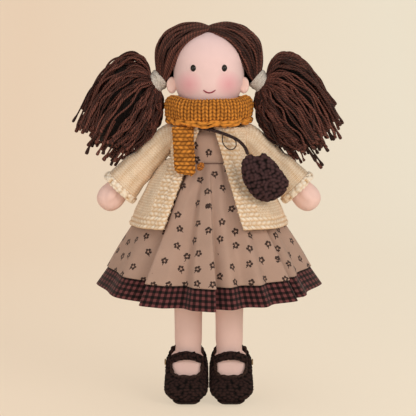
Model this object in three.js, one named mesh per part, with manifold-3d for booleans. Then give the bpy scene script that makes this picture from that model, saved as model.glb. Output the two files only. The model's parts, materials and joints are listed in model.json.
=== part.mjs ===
// A rag doll with yarn pigtails, a printed dress over a checked petticoat, a knitted cardigan and scarf,
// a small crocheted purse and crocheted strap shoes. Millimetres, +Z up. The doll faces -Y and stands on
// the plane z = 0, with the origin midway between the shoes. Its own left is at +X.

import * as THREE from "three";
import { mergeVertices } from "three/addons/utils/BufferGeometryUtils.js";
import Module from "manifold-3d";

const wasm = await Module();
wasm.setup();

// Clearances and cutting aids.
const gap = 0.3;
const seamGap = 0.6;
const weldDistance = 0.001;
const overrun = 120;
const farOff = 600;

// Heights of the body, measured upwards from the floor or from the hip seam.
const hipHeight = 200;
const waistRise = 52.5;
const shoulderRise = 78;
const neckRise = 104;
const headHeight = 85;
const hairOnTop = 10.7;

const waistZ = hipHeight + waistRise;
const shoulderZ = hipHeight + shoulderRise;
const neckTopZ = hipHeight + neckRise;
const headBottomZ = neckTopZ + gap;
const headTopZ = headBottomZ + headHeight;
const hairTopZ = headTopZ + hairOnTop;

// Stuffed body.
const torsoHalfWidth = 34.5;
const torsoHalfDepth = 23.5;
const shoulderFlat = 33;
const headHalfWidth = 37;
const headHalfDepth = 35;
const armLength = 111;
const armBend = 12;
const armLean = THREE.MathUtils.degToRad(46);
const handHalfWidth = 14.3;
const thumbSize = new THREE.Vector3(5.6, 4.4, 7);
const legRadius = 15.6;
const legSpread = 21.8;

// Face.
const eyeSpread = 15.6;
const eyeHeight = 46;
const eyeRadius = 3.3;
const mouthHalfWidth = 6;
const mouthHeight = 20.6;
const mouthDip = 3;
const threadRadius = 0.6;
const earSize = new THREE.Vector3(5.2, 3.6, 8.5);
const earHeight = 28.8;
const earInset = 1.2;

// Hair, ties and pigtails.
const hairHalfWidth = 57;
const hairLobe = new THREE.Vector3(39, 44, 38);
const hairSetBack = 4;
const tieSpread = 54.5;
const tieDrop = 63;
const tieRadius = 10.5;
const tieLength = 12.5;
const tieSlope = THREE.MathUtils.degToRad(38);
const tieSwingRadius = 17.5;
const pigtailReach = 88;
const pigtailDrop = 87;
const pigtailHalfDepth = 30;
const pigtailSetBack = 4;

// Dress, petticoat.
const clothWall = 1.6;
const bodiceEase = 0.5;
const armholeRadius = 12.5;
const dressTopRise = 88.6;
const skirtLength = 110;
const skirtHalfWidth = 102.5;
const skirtHalfDepth = 86;
const foldDepth = 6;
const foldCount = 13;
const foldTurn = THREE.MathUtils.degToRad(-3.8);
const hemDip = 12.5;
const petticoatEase = 0.8;
const petticoatTop = 8;
const petticoatLength = 103;
const frillLength = 25.5;
const frillFlare = 17.5;

// Cardigan.
const knitWall = 3.4;
const cardiganHemRise = -12;
const cardiganHalfWidth = 84.5;
const cardiganHalfDepth = 71.5;
const cardiganShoulder = 40;
const cardiganTopRise = 93.4;
const neckHoleRadius = 21;
const bandWidth = 9.5;
const bandProud = 1.3;
const rightEdgeLow = 46;
const rightEdgeHigh = 7;
const leftEdgeLow = 35;
const leftEdgeHigh = 3.5;
const sleeveReach = 53;
const sleeveDrop = 52;
const sleeveHalfWidth = 19.5;
const sleeveHalfDepth = 18;
const sleeveWall = 2.6;
const cuffLength = 8;
const cuffWall = 4.4;

// Scarf.
const scarfHalfWidth = 46.7;
const scarfHalfDepth = 42;
const scarfHeight = 28.6;
const scarfRise = 94.2;
const scarfFrontDrop = 4.2;
const scarfBackDrop = 1;
const tailHalfWidth = 11.8;
const tailThickness = 6.4;
const tailLength = 48.6;
const tailOffset = 27;
const tailDrift = 2.8;
const tailFront = 28.5;
const tailLean = 11.3;
const tailRaise = 1;
const yarnEndRadius = 4.6;
const yarnEndShare = 0.84;

// Purse.
const purseHalfWidth = 24.4;
const purseHalfHeight = 25;
const purseHalfDepth = 10.5;
const purseX = 57;
const purseRise = 39.9;
const purseY = -54.5;
const strapDiameter = 3.4;
const loopDiameter = 1.2;

// Shoes.
const soleThickness = 4;
const shoeSpread = 23;
const shoeHalfWidth = 22.4;
const shoeHeel = 20;
const shoeLength = 61;
const shoeHeight = 62;
const shoeWall = 3.2;
const shoeStrapHeight = 7.5;
const shoeStrapWall = 3.4;
const shoeStrapBase = 46.5;
const shoeStrapArch = 8;
const vampHalfWidth = 15;
const vampLength = 23;
const buttonRadius = 3.2;

// Faces round each piece.
const bodySides = 18;
const knitSides = 20;
const limbSides = 14;
const foldSteps = 6;
const plainSides = 32;
const cordSides = 6;
const beadSides = 10;
const beadSteps = 6;
const hairSides = 18;
const hairSteps = 12;

const X = new THREE.Vector3(1, 0, 0);
const Y = new THREE.Vector3(0, 1, 0);
const Z = new THREE.Vector3(0, 0, 1);
const roundPower = 2;
const softPower = 2.4;
const headPower = 2.1;
const squarePower = 4;

const doll = new THREE.Group();

// A superellipse of points about a centre, spanned by two unit directions.
function ring(centre, across, up, halfAcross, halfUp, sides, power = roundPower) {
  return Array.from({ length: sides }, (_, i) => {
    const turn = (i / sides) * Math.PI * 2;
    const c = Math.cos(turn);
    const s = Math.sin(turn);
    const a = Math.sign(c) * Math.abs(c) ** (2 / power) * halfAcross;
    const b = Math.sign(s) * Math.abs(s) ** (2 / power) * halfUp;
    return centre.clone().addScaledVector(across, a).addScaledVector(up, b);
  });
}

// The middle of a list of points.
function middle(points) {
  const sum = new THREE.Vector3();
  points.forEach((point) => sum.add(point));
  return sum.divideScalar(points.length);
}

// Six times the signed volume under an indexed surface tells which way its faces look.
function signedVolume(points, index) {
  let total = 0;
  for (let i = 0; i < index.length; i += 3) {
    const [a, b, c] = index.slice(i, i + 3).map((k) => points[k]);
    total += a.dot(b.clone().cross(c));
  }
  return total;
}

// A closed surface through rings of equal count: capped at both ends, or looped from last to first.
function skin(rings, looped = false) {
  const sides = rings[0].length;
  const points = rings.flat();
  const index = [];
  const joins = looped ? rings.length : rings.length - 1;
  for (let r = 0; r < joins; r++) {
    const low = r * sides;
    const high = ((r + 1) % rings.length) * sides;
    for (let i = 0; i < sides; i++) {
      const j = (i + 1) % sides;
      index.push(low + i, low + j, high + j, low + i, high + j, high + i);
    }
  }
  if (!looped) {
    const last = (rings.length - 1) * sides;
    const first = points.push(middle(rings[0])) - 1;
    const end = points.push(middle(rings[rings.length - 1])) - 1;
    for (let i = 0; i < sides; i++) {
      const j = (i + 1) % sides;
      index.push(first, j, i, end, last + i, last + j);
    }
  }
  if (signedVolume(points, index) < 0) index.reverse();
  const geometry = new THREE.BufferGeometry().setFromPoints(points);
  geometry.setIndex(index);
  return geometry;
}

// Rings stacked upwards: each row holds a height share, a half width share and a half depth share.
function tower(rows, base, size, sides, grow = 0, power = softPower, centre = new THREE.Vector3()) {
  return skin(rows.map(([up, wide, deep]) => ring(
    new THREE.Vector3(centre.x, centre.y, base + up * (size.z + grow)),
    X, Y, wide * size.x + grow, deep * size.y + grow, sides, power)));
}

function block(min, max) {
  const size = max.clone().sub(min);
  const at = max.clone().add(min).multiplyScalar(0.5);
  return new THREE.BoxGeometry(size.x, size.y, size.z).translate(at.x, at.y, at.z);
}

function ball(at, size, across = beadSides, up = beadSteps) {
  return new THREE.SphereGeometry(1, across, up).scale(size.x, size.y, size.z).translate(at.x, at.y, at.z);
}

// A rod about a point, along a direction.
function rod(at, along, radius, length, sides = limbSides) {
  const turn = new THREE.Quaternion().setFromUnitVectors(Y, along.clone().normalize());
  return new THREE.CylinderGeometry(radius, radius, length, sides)
    .applyQuaternion(turn).translate(at.x, at.y, at.z);
}

// An upright wall through a plan drawn in X and Z, standing along Y between two depths.
function curtain(outline, fromY, toY) {
  const shape = new THREE.Shape(outline.map(([x, z]) => new THREE.Vector2(x, z)));
  return new THREE.ExtrudeGeometry(shape, { depth: toY - fromY, bevelEnabled: false })
    .rotateX(Math.PI / 2).translate(0, toY, 0);
}

function cord(path, diameter, stepDiameters = 2.4) {
  const section = new THREE.Shape().absarc(0, 0, diameter / 2, 0, Math.PI * 2, false);
  const outline = new THREE.Shape(section.getSpacedPoints(cordSides).slice(0, cordSides));
  const steps = Math.ceil(path.getLength() / (diameter * stepDiameters));
  return new THREE.ExtrudeGeometry(outline, { steps, bevelEnabled: false, extrudePath: path });
}

function manifoldOf(geometry) {
  const bare = new THREE.BufferGeometry().setAttribute("position", geometry.getAttribute("position"));
  bare.setIndex(geometry.index);
  const merged = mergeVertices(bare, weldDistance);
  const vertProperties = merged.attributes.position.array;
  return new wasm.Manifold(
    new wasm.Mesh({ numProp: 3, vertProperties, triVerts: new Uint32Array(merged.index.array) }));
}

function geometryOf(solid) {
  const mesh = solid.getMesh();
  const geometry = new THREE.BufferGeometry();
  geometry.setAttribute("position", new THREE.BufferAttribute(mesh.vertProperties, 3));
  geometry.setIndex(new THREE.BufferAttribute(mesh.triVerts, 1));
  return geometry;
}

function combine(method, first, others) {
  return geometryOf(others.reduce((made, next) => made[method](manifoldOf(next)), manifoldOf(first)));
}

const cut = (first, ...others) => combine("subtract", first, others);
const join = (first, ...others) => combine("add", first, others);
const meet = (first, ...others) => combine("intersect", first, others);

// Everything on one side of a plane square to X, Y or Z, as a large block.
function halfSpace(axis, from, towards) {
  const min = new THREE.Vector3().setScalar(-farOff);
  const max = new THREE.Vector3().setScalar(farOff);
  if (towards > 0) min[axis] = from;
  else max[axis] = from;
  return block(min, max);
}

// The other side's copy of a piece, mirrored across the plane x = 0.
function mirrored(geometry) {
  const copy = geometry.clone().scale(-1, 1, 1);
  const index = Array.from(copy.index ? copy.index.array : copy.attributes.position.array.keys());
  if (!copy.index) index.length = copy.attributes.position.count;
  copy.setIndex(index.reverse());
  return copy;
}

function place(name, geometry, material) {
  const mesh = new THREE.Mesh(geometry, material);
  mesh.name = name;
  doll.add(mesh);
}

// A piece that the doll has on both sides, drawn for its own left.
function placePair(name, geometry, material) {
  place(name + "_left", geometry, material);
  place(name + "_right", mirrored(geometry), material);
}

const cloth = (color, roughness = 0.95) => new THREE.MeshStandardMaterial({ color, roughness, metalness: 0 });
const skinCloth = cloth(0xecc9bc);
const hairYarn = cloth(0x4a2a26);
const creamKnit = cloth(0xead9b0);
const mustardKnit = cloth(0xc98430);
const printCloth = cloth(0xb09a86);
const checkCloth = cloth(0x5c3236);
const liningCloth = cloth(0xe6dccb);
const darkCrochet = cloth(0x3c2a2a);
const shoeCrochet = cloth(0x38241f);
const tieLinen = cloth(0xdcd2c2);
const mouthThread = cloth(0xb8586a);
const beadGloss = new THREE.MeshStandardMaterial({ color: 0x0a0808, roughness: 0.12, metalness: 0 });
const buttonHorn = new THREE.MeshStandardMaterial({ color: 0xa98c66, roughness: 0.4, metalness: 0 });

// Torso, bottom seam to neck: height, half width and half depth shares.
const torsoShares = [
  [0, 0.75, 0.05], [0.05, 0.87, 0.55], [0.13, 0.96, 0.86], [0.25, 0.97, 1], [0.505, 0.8, 0.83],
  [0.62, 0.86, 0.83], [0.71, 0.98, 0.81], [0.775, 1, 0.74], [0.815, 0.97, 0.6], [0.84, 0.8, 0.52],
  [0.885, 0.42, 0.57], [1, 0.385, 0.565],
];
const torsoBottomZ = hipHeight + seamGap;
const torsoSize = new THREE.Vector3(torsoHalfWidth, torsoHalfDepth, neckTopZ - torsoBottomZ);

function slabAcross(half) {
  return block(new THREE.Vector3(-half, -farOff, -farOff), new THREE.Vector3(half, farOff, farOff));
}

place("torso", meet(tower(torsoShares, torsoBottomZ, torsoSize, bodySides), slabAcross(shoulderFlat)), skinCloth);

// Head, neck seat to crown.
const headShares = [
  [0, 0.35, 0.37], [0.045, 0.54, 0.55], [0.11, 0.715, 0.715], [0.21, 0.85, 0.85], [0.33, 0.955, 0.945],
  [0.48, 1, 0.985], [0.63, 1, 1], [0.77, 0.93, 0.94], [0.88, 0.76, 0.8], [0.95, 0.52, 0.56],
  [0.985, 0.26, 0.3], [1, 0.06, 0.08],
];
const headSize = new THREE.Vector3(headHalfWidth, headHalfDepth, headHeight);

function headSolid(grow = 0) {
  return tower(headShares, headBottomZ - grow, headSize, bodySides, grow, headPower);
}

// Half width and half depth of a tower of rows at a height.
function sectionAt(rows, base, size, z) {
  const share = (z - base) / size.z;
  const next = Math.max(1, rows.findIndex(([up]) => up >= share));
  const [low, high] = [rows[next - 1], rows[next]];
  const part = (share - low[0]) / (high[0] - low[0]);
  const wide = THREE.MathUtils.lerp(low[1], high[1], part) * size.x;
  const deep = THREE.MathUtils.lerp(low[2], high[2], part) * size.y;
  return { wide, deep };
}

// The face surface's depth at a place across and up.
function faceY(x, z) {
  const { wide, deep } = sectionAt(headShares, headBottomZ, headSize, z);
  const inside = 1 - Math.abs(x / wide) ** headPower;
  return -deep * inside ** (1 / headPower);
}

const eyeZ = headBottomZ + eyeHeight;
const eyeAt = new THREE.Vector3(eyeSpread, faceY(eyeSpread, eyeZ) + eyeRadius / 4, eyeZ);
const eyeSize = new THREE.Vector3(eyeRadius, eyeRadius * 0.75, eyeRadius * 1.1);
const eyeSocket = eyeSize.clone().addScalar(gap);
const socketLeft = ball(eyeAt, eyeSocket);
const head = cut(headSolid(), socketLeft, mirrored(socketLeft));
place("head", head, skinCloth);
placePair("eye", ball(eyeAt, eyeSize), beadGloss);

// The smile is one stitched thread that lies on the face.
const mouthStations = [-1, -0.5, 0, 0.5, 1];
const mouthLine = new THREE.CatmullRomCurve3(mouthStations.map((share) => {
  const x = share * mouthHalfWidth;
  const z = headBottomZ + mouthHeight + mouthDip * share * share;
  return new THREE.Vector3(x, faceY(x, z) - threadRadius - gap, z);
}));
place("mouth_stitch", cord(mouthLine, threadRadius * 2, 1.2), mouthThread);

const earZ = headBottomZ + earHeight;
const earX = sectionAt(headShares, headBottomZ, headSize, earZ).wide + earSize.x - earInset;
const earAt = new THREE.Vector3(earX, -earSize.y * 1.4, earZ);

// One half of the hair: a full lobe from the parting to the tie, open over the face.
const hairlineShares = [
  [0, 1.012], [0.53, 0.925], [0.857, 0.775], [1.016, 0.64], [1.016, 0.5], [1.27, 0.44], [1.27, 0], [0, 0],
];
const faceOutline = hairlineShares.map(([across, up]) => [
  across * headHalfWidth, headBottomZ + up * headHeight]);
const hairCentre = new THREE.Vector3(hairHalfWidth - hairLobe.x, hairSetBack, hairTopZ - hairLobe.z);
const tieAxis = new THREE.Vector3(Math.cos(tieSlope), 0, -Math.sin(tieSlope));
const tieAt = new THREE.Vector3(tieSpread, hairSetBack, hairTopZ - tieDrop);
const tieBed = rod(tieAt.clone().addScaledVector(tieAxis, overrun / 2), tieAxis, tieRadius + gap,
  tieLength + overrun + gap * 2);
const faceOpening = curtain(faceOutline, -overrun, -headHalfDepth / 4);
const earClearance = ball(earAt, earSize.clone().addScalar(gap));
const hairHalf = cut(ball(hairCentre, hairLobe, hairSides, hairSteps), halfSpace("x", gap / 2, -1), headSolid(gap),
  faceOpening, tieBed, earClearance);
placePair("hair", hairHalf, hairYarn);
placePair("hair_tie", rod(tieAt, tieAxis, tieRadius, tieLength), tieLinen);
placePair("ear", cut(ball(earAt, earSize), headSolid(gap), tieBed), skinCloth);

// A pigtail hangs out of its tie. Its outline runs from above the tie round the tips and back under it, in
// shares of its reach and drop from the tie's middle. Its layers shrink towards the front and the back.
const pigtailOutlineShares = [
  [0.07, 0.2], [0.12, 0.32], [0.25, 0.375], [0.39, 0.355], [0.5, 0.27], [0.61, 0.115], [0.7, -0.03],
  [0.81, -0.2], [0.93, -0.35], [1.03, -0.475], [0.985, -0.61], [0.88, -0.79], [0.73, -0.92], [0.53, -1.01],
  [0.385, -0.89], [0.275, -0.81], [0.14, -0.69], [0.04, -0.53], [0, -0.37], [0, -0.22], [0.04, -0.08],
];
const pigtailLayerShares = [[-1, 0.3], [-0.88, 0.6], [-0.5, 0.9], [0, 1], [0.5, 0.9], [0.88, 0.6], [1, 0.3]];
const tieEndX = tieAt.x + Math.cos(tieSlope) * tieLength / 2 + Math.sin(tieSlope) * tieRadius;
const swingAt = tieAt.clone().addScaledVector(tieAxis, tieLength / 2);
const swingRoom = rod(new THREE.Vector3(0, swingAt.y, swingAt.z), X, tieSwingRadius, (tieEndX + gap) * 2);
const pigtailHeart = new THREE.Vector3(
  tieAt.x + pigtailReach * 0.48, pigtailSetBack, tieAt.z - pigtailDrop * 0.3);
const pigtailRings = pigtailLayerShares.map(([deep, size]) => pigtailOutlineShares.map(([out, up]) => {
  const edge = new THREE.Vector3(tieAt.x + out * pigtailReach, 0, tieAt.z + up * pigtailDrop);
  const x = THREE.MathUtils.lerp(pigtailHeart.x, edge.x, size);
  const z = THREE.MathUtils.lerp(pigtailHeart.z, edge.z, size);
  return new THREE.Vector3(x, pigtailHeart.y + deep * pigtailHalfDepth, z);
}));
placePair("pigtail", cut(skin(pigtailRings), swingRoom), hairYarn);

// Arm: out of the shoulder, round a bend, and down to a mitten hand. Distances run along its middle.
const armRootX = shoulderFlat + gap;
const armBendX = cardiganShoulder - 2;

function armFrame(distance) {
  const straight = armBendX - armRootX;
  const turned = THREE.MathUtils.clamp((distance - straight) / armBend, 0, armLean);
  const beyond = Math.max(0, distance - straight - armBend * armLean);
  const along = new THREE.Vector3(Math.cos(turned), 0, -Math.sin(turned));
  const up = new THREE.Vector3(Math.sin(turned), 0, Math.cos(turned));
  const at = new THREE.Vector3(armRootX + Math.min(distance, straight), 0, shoulderZ - armBend)
    .add(new THREE.Vector3(Math.sin(turned), 0, Math.cos(turned)).multiplyScalar(armBend))
    .addScaledVector(along, beyond);
  return { at, along, up };
}

// Rows: share of the arm's length, then half width and half depth as shares of the hand's half width.
const armShares = [
  [0, 0.7, 0.7], [0.044, 0.72, 0.72], [0.09, 0.74, 0.74], [0.135, 0.75, 0.75], [0.3, 0.78, 0.78],
  [0.6, 0.84, 0.84], [0.72, 0.85, 0.8], [0.79, 0.94, 0.82], [0.86, 1, 0.84], [0.93, 0.86, 0.74],
  [0.975, 0.58, 0.5], [1, 0.16, 0.14],
];
const armRings = armShares.map(([share, wide, deep]) => {
  const { at, up } = armFrame(share * armLength);
  return ring(at, up, Y, wide * handHalfWidth, deep * handHalfWidth, limbSides);
});
const thumbFrame = armFrame(armLength * 0.83);
const thumbAt = thumbFrame.at.clone().add(new THREE.Vector3(0, -handHalfWidth * 0.72, 0));
placePair("arm", join(skin(armRings), ball(thumbAt, thumbSize)), skinCloth);

// Dress bodice: the torso's form let out by its ease, from the waist seam to the shoulders.
function torsoGrown(grow) {
  return tower(torsoShares, torsoBottomZ - grow * 0.4, torsoSize, bodySides, grow);
}

const armhole = rod(new THREE.Vector3(0, 0, shoulderZ), X, armholeRadius, farOff);
const neckHole = rod(new THREE.Vector3(0, 0, neckTopZ), Z, neckHoleRadius, (neckTopZ - shoulderZ) * 1.8);
const bodiceOuter = meet(torsoGrown(bodiceEase + clothWall), slabAcross(shoulderFlat + bodiceEase + clothWall));
const bodiceInner = meet(torsoGrown(bodiceEase), slabAcross(shoulderFlat + bodiceEase));
place("bodice", cut(bodiceOuter, bodiceInner, armhole, halfSpace("z", waistZ, -1),
  halfSpace("z", hipHeight + dressTopRise, 1)), printCloth);

// Skirt, petticoat and frill hang from the waist in one family of bells. A bell row gives a share of the
// skirt's drop, half width and half depth shares at the hem line, and a share of the fold depth.
const bellShares = [
  [0, 0.297, 0.265, 0.06], [0.07, 0.356, 0.331, 0.1], [0.19, 0.468, 0.448, 0.18], [0.3, 0.561, 0.541, 0.27],
  [0.44, 0.659, 0.645, 0.37], [0.57, 0.741, 0.733, 0.48], [0.79, 0.883, 0.878, 0.73], [1, 1, 1, 1],
];

function bellAt(share) {
  const next = Math.max(1, bellShares.findIndex(([down]) => down >= Math.min(share, 1)));
  const [low, high] = [bellShares[next - 1], bellShares[next]];
  const part = (Math.min(share, 1) - low[0]) / (high[0] - low[0]);
  return [1, 2, 3].map((k) => THREE.MathUtils.lerp(low[k], high[k], part));
}

// One hanging layer: rows of [drop below the waist, extra half width], with a wall inwards.
function hangingCloth(rows, ease, wall, folded) {
  const count = folded ? foldCount * foldSteps : plainSides;
  const rowRing = ([drop, extra], inset) => Array.from({ length: count }, (_, i) => {
    const turn = (i / count) * Math.PI * 2;
    const [wide, deep, fold] = bellAt(drop / skirtLength);
    const wave = folded ? Math.cos((turn - foldTurn) * foldCount) * -1 : -1;
    const swell = fold * foldDepth * wave + extra - ease - inset;
    const x = (wide * skirtHalfWidth + swell) * Math.sin(turn);
    const y = -(deep * skirtHalfDepth + swell) * Math.cos(turn);
    const dip = hemDip * (drop / skirtLength) * Math.abs(Math.cos(turn)) ** 1.4;
    return new THREE.Vector3(x, y, waistZ - drop - dip);
  });
  const outer = rows.map((row) => rowRing(row, 0));
  const inner = rows.map((row) => rowRing(row, wall)).reverse();
  return skin([...outer, ...inner], true);
}

const skirtDropShares = [0.003, 0.25, 0.58, 1];
place("skirt", hangingCloth(skirtDropShares.map((share) => [share * skirtLength, 0]), 0, clothWall, true),
  printCloth);

const petticoatBottom = petticoatLength;
const petticoatDrops = [petticoatTop, petticoatBottom * 0.2, petticoatBottom * 0.5, petticoatBottom];
const underEase = clothWall + petticoatEase;
place("underskirt", hangingCloth(petticoatDrops.map((drop) => [drop, 0]), underEase, clothWall, false),
  liningCloth);

const frillRows = [0, 1].map((share) => [
  petticoatBottom + gap + share * frillLength, share * frillFlare]);
place("gingham_frill", hangingCloth(frillRows, underEase + foldDepth, clothWall, true), checkCloth);

// Cardigan body, hem to shoulders: height, half width and half depth shares.
const cardiganHemZ = hipHeight + cardiganHemRise;
const cardiganTopZ = hipHeight + cardiganTopRise;
const cardiganShares = [
  [0, 1, 1], [0.21, 0.852, 0.82], [0.32, 0.763, 0.72], [0.42, 0.675, 0.615], [0.57, 0.539, 0.45],
  [0.645, 0.505, 0.395], [0.85, 0.505, 0.37], [0.965, 0.49, 0.36], [0.99, 0.43, 0.35], [1, 0.36, 0.34],
];
const cardiganSize = new THREE.Vector3(cardiganHalfWidth, cardiganHalfDepth, cardiganTopZ - cardiganHemZ);
const armpitZ = cardiganHemZ + 0.64 * cardiganSize.z;

// The cardigan's form drawn in or let out by an amount, with flat shoulders for the sleeves.
function cardiganForm(grow) {
  const form = tower(cardiganShares, cardiganHemZ, cardiganSize, knitSides, grow);
  const flat = cardiganShoulder + Math.min(grow, 0);
  const right = block(new THREE.Vector3(flat, -farOff, armpitZ), new THREE.Vector3().setScalar(farOff));
  return cut(form, right, mirrored(right));
}

// The room inside the cardigan runs out through its hem.
function cardiganRoom(wall) {
  const low = tower([[0, 1, 1], [1, 1, 1]], cardiganHemZ - overrun,
    new THREE.Vector3(cardiganHalfWidth - wall, cardiganHalfDepth - wall, overrun), knitSides);
  return join(cardiganForm(-wall), low);
}

const edgeLean = (low, high) => (low - high) / cardiganSize.z;

// A front edge's distance from the middle at a height.
const rightEdgeAt = (z) => rightEdgeLow - edgeLean(rightEdgeLow, rightEdgeHigh) * (z - cardiganHemZ);
const leftEdgeAt = (z) => leftEdgeLow - edgeLean(leftEdgeLow, leftEdgeHigh) * (z - cardiganHemZ);

// The front half of everything to one side of a leaning front edge, set off from it by a width.
function besideEdge(edgeAt, offset, toRight) {
  const sign = toRight ? -1 : 1;
  const low = cardiganHemZ - overrun;
  const high = cardiganTopZ + overrun;
  const outline = [
    [sign * (edgeAt(low) + offset), low], [sign * farOff, low], [sign * farOff, high],
    [sign * (edgeAt(high) + offset), high],
  ];
  return curtain(toRight ? outline.reverse() : outline, -farOff, -gap / 2);
}

const cardiganShell = cut(cardiganForm(0), cardiganRoom(knitWall), armhole, neckHole);
const bandShell = cut(cardiganForm(bandProud), cardiganRoom(knitWall), armhole, neckHole);
const underScarf = halfSpace("z", hipHeight + scarfRise - scarfFrontDrop - gap, 1);
const cardiganFronts = [["left", leftEdgeAt, false], ["right", rightEdgeAt, true]];
place("cardigan_back", meet(cardiganShell, halfSpace("y", gap / 2, 1)), creamKnit);
for (const [side, edgeAt, toRight] of cardiganFronts) {
  const panel = meet(cardiganShell, besideEdge(edgeAt, bandWidth + gap, toRight));
  const band = cut(meet(bandShell, besideEdge(edgeAt, 0, toRight)), besideEdge(edgeAt, bandWidth, toRight));
  place("cardigan_front_" + side, cut(panel, underScarf), creamKnit);
  place("front_band_" + side, cut(band, underScarf), creamKnit);
}

// Sleeve rows: out and down shares of its reach and drop, lean share, half width and half depth shares.
const sleeveShares = [
  [0, 0, 0, 0.795, 0.86], [0.111, 0.073, 0.5, 0.76, 0.835], [0.211, 0.169, 1, 0.735, 0.82],
  [0.466, 0.433, 1, 0.795, 0.86], [0.749, 0.721, 1, 0.913, 0.944], [0.955, 0.96, 1, 1, 1],
];

function sleeveRing([out, down, lean, wide, deep], inset) {
  const turn = lean * armLean;
  const up = new THREE.Vector3(Math.sin(turn), 0, Math.cos(turn));
  const at = new THREE.Vector3(
    cardiganShoulder + gap + out * sleeveReach, 0, shoulderZ - down * sleeveDrop);
  return ring(at, up, Y, wide * sleeveHalfWidth - inset, deep * sleeveHalfDepth - inset, limbSides);
}

const sleeveOuter = sleeveShares.map((row) => sleeveRing(row, 0));
const sleeveInner = sleeveShares.map((row) => sleeveRing(row, sleeveWall)).reverse();
placePair("sleeve", skin([...sleeveOuter, ...sleeveInner], true), creamKnit);

const armAlong = new THREE.Vector3(Math.cos(armLean), 0, -Math.sin(armLean));
const cuffSwell = cuffWall - sleeveWall;
const cuffShift = (points, by) => points.map((point) => point.clone().addScaledVector(armAlong, by));
const sleeveEnd = sleeveShares[sleeveShares.length - 1];
const cuffOuter = sleeveRing(sleeveEnd, -cuffSwell);
const cuffInner = sleeveRing(sleeveEnd, sleeveWall);
placePair("cuff", skin([
  cuffShift(cuffInner, gap), cuffShift(sleeveRing(sleeveEnd, -cuffSwell / 2), gap),
  cuffShift(cuffOuter, cuffLength * 0.3), cuffShift(cuffOuter, cuffLength * 0.75),
  cuffShift(sleeveRing(sleeveEnd, 0), cuffLength), cuffShift(cuffInner, cuffLength),
], true), creamKnit);

// Scarf: a thick wrap round the neck with a rolled lower border. Outer rows hold an outward share and a
// height share; the inside leaves room for the jaw to turn.
const scarfOuterShares = [
  [0.86, 1], [0.975, 0.84], [1, 0.58], [0.97, 0.34], [0.93, 0.24], [0.955, 0.12], [0.88, 0],
];
const scarfInnerShares = [0.06, 0.32, 0.64, 0.96];
const scarfBottomZ = hipHeight + scarfRise;
const scarfSteps = 26;
const scarfNeckRoom = 20;
const jawEase = 1.1;
const jawShare = 1.03;

function scarfRingAt(turn) {
  const out = new THREE.Vector3(Math.cos(turn), Math.sin(turn), 0);
  const drop = (out.y < 0 ? scarfFrontDrop : scarfBackDrop) * out.y * out.y;
  const bottom = scarfBottomZ - drop;
  const outer = scarfOuterShares.map(([share, up]) => new THREE.Vector3(
    out.x * share * scarfHalfWidth, out.y * share * scarfHalfDepth, bottom + up * scarfHeight));
  const inner = scarfInnerShares.map((up) => {
    const z = bottom + up * scarfHeight;
    const jaw = z > headBottomZ ? sectionAt(headShares, headBottomZ, headSize, z).wide : 0;
    const radius = Math.max(scarfNeckRoom, jaw * jawShare + jawEase);
    return new THREE.Vector3(out.x * radius, out.y * radius, z);
  });
  return [...outer, ...inner];
}

const scarfRings = Array.from({ length: scarfSteps }, (_, i) => scarfRingAt((i / scarfSteps) * Math.PI * 2));
place("scarf_wrap", skin(scarfRings, true), mustardKnit);

// The scarf's tail hangs down the front from under the wrap, and ends in a curl of yarn.
const tailTopZ = scarfBottomZ - scarfFrontDrop + tailRaise - gap;
const tailRowShares = [
  [0, 0.96, 0.4], [0.07, 1, 0.9], [0.35, 0.98, 0.97], [0.65, 0.97, 1], [0.94, 0.98, 1], [1, 0.93, 0.8],
];
const tailAt = (down) => new THREE.Vector3(
  -tailOffset + tailDrift * down, -tailFront - tailLean * down, tailTopZ - tailLength * down);

function tailForm(grow) {
  return skin(tailRowShares.map(([down, wide, thick]) => ring(tailAt(down), X, Y,
    wide * tailHalfWidth + grow, (thick * tailThickness) / 2 + grow, limbSides, squarePower)));
}

place("scarf_tail", tailForm(0), mustardKnit);
const yarnEndAt = tailAt(yarnEndShare).add(new THREE.Vector3(tailHalfWidth + yarnEndRadius - gap, 0, 0));
const yarnEndSize = new THREE.Vector3(yarnEndRadius, tailThickness / 2, yarnEndRadius);
place("scarf_yarn_end", cut(ball(yarnEndAt, yarnEndSize), tailForm(gap)), mustardKnit);

// Purse: a drawn pouch. Outline shares run clockwise from where the strap joins it.
const purseOutlineShares = [
  [-0.75, 0.9], [-0.58, 0.945], [-0.415, 0.86], [-0.1, 1], [0.21, 0.825], [0.62, 0.375], [0.915, -0.03],
  [1, -0.19], [0.875, -0.56], [0.62, -0.8], [0.12, -1], [-0.29, -0.93], [-0.665, -0.6], [-0.915, -0.15],
  [-1, 0.295], [-1, 0.62], [-0.915, 0.785],
];
const purseLayerShares = [[-1, 0.25], [-0.86, 0.62], [-0.5, 0.91], [0, 1], [0.5, 0.91], [0.86, 0.62], [1, 0.25]];
const purseZ = hipHeight + purseRise;
const purseRings = purseLayerShares.map(([deep, size]) => purseOutlineShares.map(([x, z]) => new THREE.Vector3(
  purseX + x * size * purseHalfWidth, purseY + deep * purseHalfDepth, purseZ + z * size * purseHalfHeight)));
place("purse_body", skin(purseRings), darkCrochet);

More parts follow.
